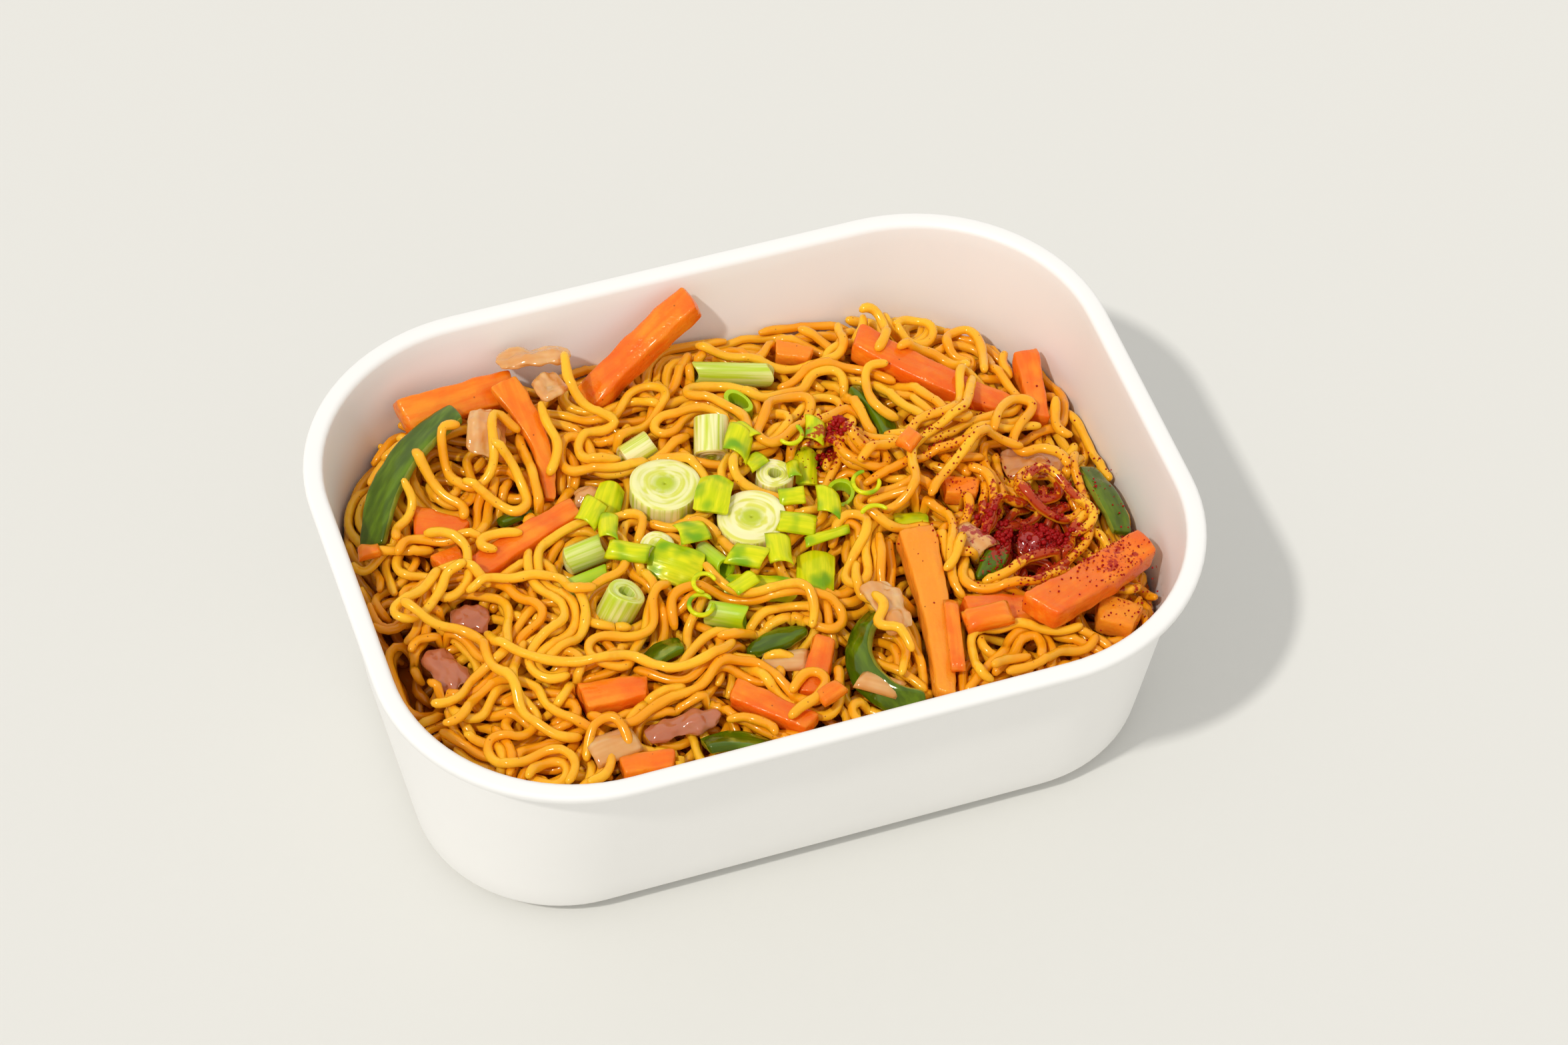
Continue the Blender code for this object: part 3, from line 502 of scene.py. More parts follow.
class Recipe:
    """A material's nodes, added one after another."""

    def __init__(self, name):
        self.material = bpy.data.materials.new(name)
        self.material.use_nodes = True
        self.tree = self.material.node_tree
        self.shader = self.tree.nodes["Principled BSDF"]
        self.place = self.add("TexCoord").outputs["Object"]

    def add(self, kind, **settings):
        """A node with its settings, and its sockets set or linked, with _ for a space."""
        node = self.tree.nodes.new(f"ShaderNode{kind}")
        for name, value in settings.items():
            if hasattr(node, name):
                setattr(node, name, value)
            else:
                self.feed(node.inputs[name.replace("_", " ")], value)
        return node

    def feed(self, socket, value):
        if isinstance(value, bpy.types.NodeSocket):
            self.tree.links.new(value, socket)
        else:
            socket.default_value = value

    def colour(self, value):
        return value if isinstance(value, bpy.types.NodeSocket) else (*value, 1.0)

    def set(self, **values):
        """Sets or links the shader's sockets, with _ for a space."""
        for name, value in values.items():
            self.feed(self.shader.inputs[name.replace("_", " ")], value)

    def attribute(self, name, field="Fac"):
        return self.add("Attribute", attribute_name=name).outputs[field]

    def noise(self, size, detail=2.0, place=None, stretch=None):
        """Cloudy noise of a size, in metres, from 0 to 1."""
        vector = place or self.place
        if stretch:
            vector = self.add("Mapping", Vector=vector, Scale=stretch).outputs["Vector"]
        return self.add("TexNoise", Vector=vector, Scale=1.0 / size, Detail=detail).outputs["Fac"]

    def streaks(self, size, detail, stretch):
        """Noise that is drawn out along the piece."""
        return self.noise(size, detail, self.attribute("grain", "Vector"), (stretch, 1.0, 1.0))

    def spread(self, value, low, high, to_low=0.0, to_high=1.0):
        """The value's range from low to high stretched smoothly to another range."""
        node = self.add("MapRange", interpolation_type="SMOOTHSTEP", Value=value,
                        From_Min=low, From_Max=high, To_Min=to_low, To_Max=to_high)
        return node.outputs["Result"]

    def math(self, operation, first, second):
        node = self.add("Math", operation=operation)
        self.feed(node.inputs[0], first)
        self.feed(node.inputs[1], second)
        return node.outputs["Value"]

    def plus(self, first, second):
        return self.math("ADD", first, second)

    def times(self, first, second):
        return self.math("MULTIPLY", first, second)

    def mix(self, share, first, second):
        node = self.add("Mix", data_type="RGBA", Factor=share)
        self.feed(node.inputs[6], self.colour(first))
        self.feed(node.inputs[7], self.colour(second))
        return node.outputs[2]

    def bump(self, height, depth, strength):
        node = self.add("Bump", Height=height, Distance=depth, Strength=strength)
        self.set(Normal=node.outputs["Normal"])

    def flecked(self, base, size, core, reach, share, colour):
        """The colour with specks, one in each cell of a size. Core and reach are shares of a cell."""
        away = self.add("TexVoronoi", Vector=self.place, Scale=1.0 / size).outputs["Distance"]
        return self.mix(self.times(self.spread(away, core, reach, 1.0, 0.0), share), base, colour)

    def dusted(self, base):
        """The colour with chilli powder on what faces up, thick where the attribute says so."""
        amount = self.attribute("chilli")
        grain = self.plus(self.noise(0.9 * MM, 3.0), self.noise(3.5 * MM, 1.0))
        reach = self.plus(grain, self.times(amount, 0.85))
        cover = self.times(self.spread(reach, 1.42, 1.62), self.spread(amount, 0.02, 0.25))
        parts = self.add("SeparateXYZ", Vector=self.add("NewGeometry").outputs["Normal"])
        cover = self.times(cover, self.spread(parts.outputs["Z"], -0.2, 0.4))
        chilli = bpy.context.scene.takeaway_toppings.chilli
        return self.mix(self.times(cover, 0.92), base, chilli)

    def food(self, base, depths, roughness, glow, reach, glint=(1.0, 1.0, 1.0), coat=0.0):
        """Dusted, wet and slightly see-through. Depths are for red, green and blue; glint is a colour."""
        self.set(Base_Color=self.dusted(base), Subsurface_Radius=depths)
        self.set(Roughness=roughness, Subsurface_Weight=glow, Subsurface_Scale=reach)
        self.set(Specular_Tint=(*glint, 1.0), Coat_Weight=coat, Coat_Roughness=0.10, IOR=1.45)


def board_material():
    look = bpy.context.scene.takeaway_box
    recipe = Recipe("White board")
    fibre = recipe.noise(0.5 * MM, 3.0)
    cloud = recipe.noise(18 * MM)
    shade = tuple(0.97 * c for c in look.colour)
    recipe.set(Base_Color=recipe.mix(cloud, look.colour, shade), Roughness=look.roughness)
    recipe.bump(fibre, 0.02 * MM, 0.5)
    return recipe.material


def noodle_material():
    look = bpy.context.scene.takeaway_noodles
    recipe = Recipe("Sauced noodle")
    tone = recipe.attribute("tone")
    patch = recipe.plus(recipe.noise(11 * MM, 1.0), recipe.times(tone, 0.5))
    base = recipe.mix(recipe.spread(patch, 0.5, 1.0), look.golden, look.colour)
    stain = recipe.spread(recipe.noise(2.2 * MM, 3.0), 0.50, 0.75)
    base = recipe.mix(recipe.times(stain, 0.45), base, look.golden)
    # Painted shade with sauce: the deeper a noodle lies in the heap, the more it takes the dark sauce colour
    sunk_sauce_and_shade = recipe.attribute("sunk_sauce_and_shade")
    base = recipe.mix(recipe.times(sunk_sauce_and_shade, 0.85), base, look.sauce_and_shade)
    base = recipe.flecked(base, 2.2 * MM, 0.04, 0.10, 0.75, (0.22, 0.035, 0.008))
    recipe.food(base, (1.0, 0.35, 0.05), 0.19, 0.32, 1.4 * MM, (1.0, 0.78, 0.42), 0.38)
    recipe.bump(recipe.noise(1.1 * MM), 0.10 * MM, 0.6)
    return recipe.material


def carrot_material():
    look = bpy.context.scene.takeaway_toppings
    recipe = Recipe("Carrot")
    streak = recipe.streaks(1.6 * MM, 3.0, 0.12)
    patch = recipe.noise(7 * MM)
    tone = recipe.attribute("tone")
    pale = (0.96, 0.30, 0.016)
    deep = (0.78, 0.10, 0.006)
    base = recipe.mix(recipe.spread(streak, 0.35, 0.65), look.carrot, pale)
    wet = recipe.plus(patch, recipe.times(tone, 0.35))
    base = recipe.mix(recipe.times(recipe.spread(wet, 0.55, 0.9), 0.65), base, deep)
    base = recipe.mix(recipe.spread(tone, 0.0, 0.3, 0.7, 0.0), base, (0.93, 0.36, 0.025))
    base = recipe.flecked(base, 3.4 * MM, 0.03, 0.08, 0.7, (0.16, 0.02, 0.006))
    recipe.food(base, (1.0, 0.25, 0.05), 0.22, 0.55, 3.5 * MM, (1.0, 0.8, 0.5), 0.25)
    recipe.bump(recipe.plus(streak, recipe.noise(0.8 * MM)), 0.20 * MM, 0.8)
    return recipe.material


def pepper_material():
    look = bpy.context.scene.takeaway_toppings
    recipe = Recipe("Green pepper")
    streak = recipe.streaks(2.0 * MM, 2.0, 0.2)
    lighter = (0.11, 0.20, 0.002)
    skin = recipe.mix(recipe.spread(streak, 0.35, 0.75), look.pepper, lighter)
    flesh = recipe.mix(recipe.noise(1.8 * MM, 3.0), (0.34, 0.36, 0.04), (0.12, 0.20, 0.012))
    base = recipe.mix(recipe.spread(recipe.attribute("skin"), 0.35, 0.6), flesh, skin)
    recipe.food(base, (0.7, 1.0, 0.1), 0.12, 0.12, 1.0 * MM, (1.0, 1.0, 0.5), 0.4)
    recipe.bump(recipe.noise(2.2 * MM), 0.08 * MM, 0.5)
    return recipe.material


def onion_material():
    look = bpy.context.scene.takeaway_toppings
    recipe = Recipe("Fried onion")
    vein = recipe.streaks(1.6 * MM, 1.0, 0.08)
    patch = recipe.noise(5 * MM)
    pale = (0.88, 0.53, 0.22)
    purple = (0.48, 0.12, 0.065)
    base = recipe.mix(recipe.spread(recipe.times(vein, patch), 0.1, 0.5), look.onion, pale)
    blush = recipe.plus(recipe.attribute("tone"), recipe.times(patch, 0.5))
    base = recipe.mix(recipe.times(recipe.spread(blush, 0.7, 1.1), 0.8), base, purple)
    recipe.food(base, (1.0, 0.6, 0.2), 0.14, 0.45, 2.5 * MM, coat=0.7)
    recipe.set(Transmission_Weight=0.12)
    recipe.bump(recipe.plus(vein, recipe.noise(2.4 * MM)), 0.06 * MM, 0.5)
    return recipe.material


def stalk_material():
    """Rings on the cut faces, streaks down the sides, greener towards one end."""
    look = bpy.context.scene.takeaway_toppings
    recipe = Recipe("Spring onion stalk")
    ring = recipe.attribute("ring")
    green = recipe.attribute("green")
    rounds = recipe.noise(0.16, 1.0, recipe.attribute("rings", "Vector"))
    white = (0.92, 0.87, 0.46)
    lime = (0.60, 0.68, 0.05)
    faces = recipe.mix(recipe.spread(rounds, 0.42, 0.62), white, (0.74, 0.73, 0.11))
    faces = recipe.mix(recipe.spread(ring, 0.48, 0.16), faces, (0.52, 0.60, 0.02))
    streak = recipe.streaks(0.9 * MM, 2.0, 0.05)
    sides = recipe.mix(recipe.spread(streak, 0.35, 0.65), white, lime)
    base = recipe.mix(recipe.attribute("side"), faces, sides)
    base = recipe.mix(green, base, recipe.mix(streak, look.leaf, (0.30, 0.60, 0.01)))
    recipe.food(base, (1.0, 1.0, 0.3), 0.32, 0.40, 1.6 * MM, coat=0.1)
    recipe.bump(streak, 0.08 * MM, 0.7)
    return recipe.material


def leaf_material():
    look = bpy.context.scene.takeaway_toppings
    recipe = Recipe("Spring onion leaf")
    vein = recipe.streaks(0.8 * MM, 2.0, 0.05)
    patch = recipe.noise(5 * MM, 1.0)
    base = recipe.mix(recipe.spread(vein, 0.3, 0.7), look.leaf, (0.76, 0.74, 0.008))
    base = recipe.mix(recipe.spread(patch, 0.45, 0.75), base, (0.18, 0.40, 0.006))
    recipe.food(base, (1.0, 1.0, 0.2), 0.26, 0.35, 1.2 * MM, (1.0, 1.0, 0.4), 0.08)
    recipe.bump(vein, 0.10 * MM, 0.8)
    return recipe.material


def powder_material():
    look = bpy.context.scene.takeaway_toppings
    recipe = Recipe("Chilli powder")
    darker = tuple(0.6 * c for c in look.chilli)
    recipe.set(Base_Color=recipe.mix(recipe.noise(1.2 * MM), look.chilli, darker), Roughness=0.35)
    recipe.set(Specular_IOR_Level=0.2)
    return recipe.material


def floor_material():
    recipe = Recipe("Pale floor")
    recipe.set(Base_Color=(*bpy.context.scene.takeaway_stage.floor, 1.0), Roughness=0.7)
    return recipe.material


def inner_size(height, grow=0.0):
    """Half the length, half the width and the corner radius inside the wall at a height."""
    share = height / BOX_HEIGHT
    ends = (
        (BASE_LENGTH / 2, BOX_LENGTH / 2 - LIP_WIDTH),
        (BASE_WIDTH / 2, BOX_WIDTH / 2 - LIP_WIDTH),
        (BASE_CORNER, RIM_CORNER - LIP_WIDTH),
    )
    return [low + share * (high - low) + grow for low, high in ends]


def room_inside(x, y, height):
    """How far points are from the inner face of the wall. It is negative outside."""
    half_length, half_width, corner = inner_size(height)
    beyond_x = np.maximum(np.abs(x) - half_length + corner, 0)
    beyond_y = np.maximum(np.abs(y) - half_width + corner, 0)
    return corner - np.hypot(beyond_x, beyond_y)


def outline(height, grow):
    """The box's outline at a height, anticlockwise from behind: corners as arcs, sides straight."""
    half_length, half_width, corner = inner_size(height, grow)
    points = []
    for quarter, (side_x, side_y) in enumerate(((1, 1), (-1, 1), (-1, -1), (1, -1))):
        centre = Vector((side_x * (half_length - corner), side_y * (half_width - corner), height))
        for step in range(CORNER_STEPS + 1):
            angle = math.pi / 2 * (quarter + step / CORNER_STEPS)
            points.append(centre + corner * Vector((math.cos(angle), math.sin(angle), 0)))
        straight = side_x * side_y > 0
        run = 2 * ((half_length if straight else half_width) - corner)
        along = Vector((-side_x, 0, 0)) if straight else Vector((0, -side_y, 0))
        points += [points[-1] + along * run * k / SIDE_STEPS for k in range(1, SIDE_STEPS)]
    return sorted(points, key=lambda p: math.atan2(p.y, p.x))


def arc(start, stop, steps):
    return [math.radians(start + (stop - start) * k / steps) for k in range(steps + 1)]


def box_profile():
    """(height, growth) of the box's inner face, from the floor out over the lip."""
    profile = [(BOARD, -2 * FOOT_RADIUS), (BOARD, -FOOT_RADIUS)]
    for turn in arc(12, 82, 7):
        profile.append((BOARD + FOOT_RADIUS * (1 - math.cos(turn)), FOOT_RADIUS * (math.sin(turn) - 1)))
    profile += [(BOX_HEIGHT * share, 0.0) for share in (0.2, 0.4, 0.6, 0.8, 0.93)]
    for turn in arc(0, 90, 5):
        profile.append((BOX_HEIGHT - LIP_ROLL * (1 - math.sin(turn)), LIP_ROLL * (1 - math.cos(turn))))
    for turn in arc(10, 90, 5):
        height = BOX_HEIGHT - LIP_ROLL * (1 - math.cos(turn))
        profile.append((height, LIP_WIDTH - LIP_ROLL * (1 - math.sin(turn))))
    profile.append((BOX_HEIGHT - LIP_DROP, LIP_WIDTH))
    return profile


def set_ring(obj, points):
    """Moves the selected ring of vertices onto points that go the same way round."""
    bm = bmesh.from_edit_mesh(obj.data)
    ring = sorted((v for v in bm.verts if v.select), key=lambda v: math.atan2(v.co.y, v.co.x))
    for v, point in zip(ring, points):
        v.co = point
    bmesh.update_edit_mesh(obj.data)


class MakeBox(bpy.types.Operator):
    """Moulds the box: a ring drawn up from the floor, out over the lip, and given its thickness"""

    bl_idname = "takeaway.make_box"
    bl_label = "Make the box"

    def execute(self, context):
        rings = [outline(height, grow) for height, grow in box_profile()]
        bpy.ops.object.select_all(action="DESELECT")
        bpy.ops.mesh.primitive_circle_add(vertices=len(rings[0]), radius=0.05)
        obj = context.object
        obj.name = "box_moulded"
        in_edit_mode()
        set_ring(obj, rings[0])
        for ring in rings[1:]:
            bpy.ops.mesh.extrude_edges_move()
            set_ring(obj, ring)
        in_object_mode()
        bm = bmesh.new()
        bm.from_mesh(obj.data)
        floor = bm.faces.new(sorted(
            (v for v in bm.verts if v.co.z <= BOARD * 1.001 and v.index < len(rings[0])),
            key=lambda v: math.atan2(v.co.y, v.co.x),
        ))
        bmesh.ops.recalc_face_normals(bm, faces=bm.faces)
        floor.normal_update()
        if floor.normal.z < 0:
            bmesh.ops.reverse_faces(bm, faces=bm.faces)
        bm.to_mesh(obj.data)
        bm.free()
        apply_modifier(obj, "SOLIDIFY", thickness=BOARD, offset=-1.0, use_even_offset=True,
                       use_quality_normals=True)
        apply_modifier(obj, "BEVEL", width=0.2 * MM, segments=2, limit_method="ANGLE",
                       angle_limit=SHARP_EDGE)
        finish_piece(obj, board_material(), "white_board", "box")
        bpy.ops.object.shade_smooth_by_angle(angle=SHARP_EDGE)
        return {"FINISHED"}


def nodes_named(*starts):
    return [n for n in NODES if n.startswith(starts)]


def grain_of(points):
    """Each point's place along, across and through its piece."""
    middle, rows = main_axes(points)
    return (points - middle) @ rows.T


def tone_of(name, low=0.0, high=1.0):
    return random.Random(name).uniform(low, high)


class CutCarrots(bpy.types.Operator):
    """Gives the carrot sticks their uneven cut faces"""

    bl_idname = "takeaway.cut_carrots"
    bl_label = "Cut the carrots"

    def execute(self, context):
        material = carrot_material()
        for node in nodes_named("carrot"):
            obj = merged_copy(node)
            subdivide(obj, 3)
            roughen(obj, (5, 0.9), (1.4, 0.22))
            give(obj.data, "grain", grain_of(points_of(obj.data)))
            give(obj.data, "tone", tone_of(node))
            finish_piece(obj, material, "carrot", node)
        return {"FINISHED"}


def skin_of(node, source, points, normals):
    """1 on the outer side of a curved strip and 0 on its inner side and cut edges."""
    yaw, roll, face = (math.radians(turn) for turn in PEPPER_TURNS[node])
    axis = np.array(Euler((roll, 0, yaw)).to_matrix() @ Vector((0, 0, 1)))
    around = np.linalg.svd(np.eye(3) - np.outer(axis, axis))[0][:, :2]
    flat = points_of(source) @ around
    fit = np.column_stack((2 * flat, np.ones(len(flat))))
    centre = np.linalg.lstsq(fit, (flat**2).sum(axis=1), rcond=None)[0][:2]
    out = (points @ around - centre) @ around.T
    out /= np.linalg.norm(out, axis=1)[:, None]
    skin = out * math.cos(face) + axis * math.sin(face)
    return np.clip((normals * skin).sum(axis=1), 0, 1)


class SlicePeppers(bpy.types.Operator):
    """Gives the green pepper strips their skin outside and flesh inside"""

    bl_idname = "takeaway.slice_peppers"
    bl_label = "Slice the peppers"

    def execute(self, context):
        material = pepper_material()
        for node in nodes_named("pepper"):
            obj = merged_copy(node)
            source = obj.data.copy()
            subdivide(obj, 3)
            roughen(obj, (6, 0.8), (2, 0.2))
            points = points_of(obj.data)
            give(obj.data, "skin", skin_of(node, source, points, normals_of(obj.data)))
            give(obj.data, "grain", grain_of(points))
            finish_piece(obj, material, "pepper", node)
        return {"FINISHED"}


def crease(obj, amount):
    """Keeps the sharp edges when the mesh is subdivided."""
    bm = bmesh.new()
    bm.from_mesh(obj.data)
    layer = bm.edges.layers.float.new("crease_edge")
    for e in bm.edges:
        if e.calc_face_angle(0.0) > SHARP_EDGE:
            e[layer] = amount
    bm.to_mesh(obj.data)
    bm.free()


class PeelOnions(bpy.types.Operator):
    """Gives the onion petals their veins and wavy edges"""

    bl_idname = "takeaway.peel_onions"
    bl_label = "Peel the onions"

    def execute(self, context):
        material = onion_material()
        for node in nodes_named("onion"):
            obj = merged_copy(node)
            crease(obj, 0.15)
            subdivide(obj, 4)
            roughen(obj, (4, 2.2), (1.5, 0.35))
            tone = ONION_TONES.get(node, tone_of(node, 0, 0.3))
            give(obj.data, "grain", grain_of(points_of(obj.data)))
            give(obj.data, "tone", tone)
            finish_piece(obj, material, "onion", node)
        return {"FINISHED"}


Stalk = namedtuple("Stalk", "middle axis across beside half wide narrow bore")


def measure_stalk(mesh):
    """Axis, half height, half widths and bore of a cut length of stalk, from its own corners."""
    points = points_of(mesh)
    axis = commonest_edge(mesh)
    axis = axis * (1 if axis[2] >= 0 else -1)
    middle = (points.max(axis=0) + points.min(axis=0)) / 2
    for _ in range(2):
        along = (points - middle) @ axis
        flat = points - middle - np.outer(along, axis)
        middle = middle + flat.mean(axis=0) + axis * (along.max() + along.min()) / 2
    _, _, rows = np.linalg.svd(flat, full_matrices=False)
    across, beside = rows[0], rows[1]
    wide = np.abs(flat @ across).max()
    narrow = np.abs(flat @ beside).max()
    reach = np.hypot(flat @ across / wide, flat @ beside / narrow)
    bore = reach.min() / reach.max()
    return Stalk(middle, axis, across, np.cross(axis, across), np.ptp(along) / 2, wide, narrow, bore)


def stalk_profile(stalk):
    """(share of the radius, height, side, ring) round one section of a cut stalk."""
    closed = stalk.bore < 0.3
    hole = 0.02 if closed else stalk.bore
    half = stalk.half
    edge = min(0.25 * MM, 0.1 * half)
    steps = 14
    sides = [(1.0, h, 1.0) for h in np.linspace(-half + edge, half - edge, 7)]
    shares = np.linspace(1 - 0.3 * edge / stalk.narrow, hole, steps)
    sheaths = 3.0 if closed else 1.6
    top = []
    for share in shares:
        ripple = abs(math.sin(math.pi * sheaths * share)) ** 0.6
        top.append((share, half - edge * 0.2 + 0.28 * MM * (ripple - 0.7), 0.0))
    bottom = [(share, -height, side) for share, height, side in reversed(top)]
    inner = [] if closed else [(hole, h, 0.7) for h in np.linspace(half - edge, -half + edge, 5)]
    return sides + top + inner + bottom


def make_stalk(node, material, green):
    """A cut length of spring onion, turned about its axis and set in its place."""
    source = merged_copy(node)
    stalk = measure_stalk(source.data)
    mesh = source.data
    bpy.data.objects.remove(source)
    bpy.data.meshes.remove(mesh)
    rng = random.Random(node)
    profile = np.array(stalk_profile(stalk))
    count = len(profile)
    waves = [(k, rng.uniform(-1, 1) * 0.035 / k, rng.uniform(0, 6.3)) for k in (2, 3, 5)]
    turn = np.linspace(0, 2 * np.pi, STALK_TURNS, endpoint=False)
    wavy = 1 + sum(size * np.sin(k * turn + start) for k, size, start in waves)
    share = profile[:, 0][None, :] * wavy[:, None]
    u = share * stalk.wide * np.cos(turn)[:, None]
    v = share * stalk.narrow * np.sin(turn)[:, None]
    tilt = 0.10 * stalk.half * np.sin(turn * 2 + waves[0][2])[:, None] * profile[:, 0][None, :]
    w = profile[:, 1][None, :] + tilt
    points = stalk.middle + u[..., None] * stalk.across + v[..., None] * stalk.beside
    points = points + w[..., None] * stalk.axis
    faces = []
    for j in range(STALK_TURNS):
        for k in range(count):
            a, b = j * count + k, j * count + (k + 1) % count
            other = (j + 1) % STALK_TURNS * count
            faces.append((a, other + k, other + (k + 1) % count, b))
    obj = mesh_object(f"{node}_finished", points.reshape(-1, 3), faces)
    share = np.tile(profile[:, 0], STALK_TURNS)
    rim = np.repeat(turn, count)
    lengthwise = (w / stalk.half).ravel()
    give(obj.data, "ring", share)
    give(obj.data, "rings", np.column_stack((share, 0 * share, 0.2 * np.cos(rim) + rng.uniform(0, 9))))
    give(obj.data, "side", np.tile(profile[:, 2], STALK_TURNS))
    give(obj.data, "grain", np.column_stack((w.ravel(), stalk.wide * np.cos(rim), stalk.wide * np.sin(rim))))
    give(obj.data, "green", np.clip(green + 0.25 * green * lengthwise, 0, 1))
    return finish_piece(obj, material, "spring_onion_stalk", node)


class ChopSpringOnions(bpy.types.Operator):
    """Makes the sliced stalks with their rings, and the opened green leaves"""

    bl_idname = "takeaway.chop_spring_onions"
    bl_label = "Chop the spring onions"

    def execute(self, context):
        material = stalk_material()
        leaves = nodes_named("spring_onion_leaf")
        for node in nodes_named("spring_onion"):
            if node not in leaves:
                make_stalk(node, material, GREEN_STALKS.get(node.removeprefix("spring_onion_"), 0.0))
        material = leaf_material()
        for node in leaves:
            obj = merged_copy(node)
            crease(obj, 0.9)
            subdivide(obj, 4)
            roughen(obj, (5, 1.0))
            give(obj.data, "grain", grain_of(points_of(obj.data)))
            finish_piece(obj, material, "spring_onion_leaf", node)
        return {"FINISHED"}


def smooth(value, low, high):
    """0 below low, 1 above high, and a smooth rise between."""
    share = np.clip((value - low) / (high - low), 0, 1)
    return share * share * (3 - 2 * share)


def heap_height(x, y):
    """The mean height of the noodles: a low dome that falls towards the right-hand end."""
    dome = HEAP_DOME * np.exp(-(((x + DOME_SHIFT) / DOME_LENGTH) ** 2) - (y / DOME_WIDTH) ** 2)
    return HEAP_HEIGHT + dome - HEAP_DROP_RIGHT * smooth(x, DROP_START, DROP_START + DROP_RUN)


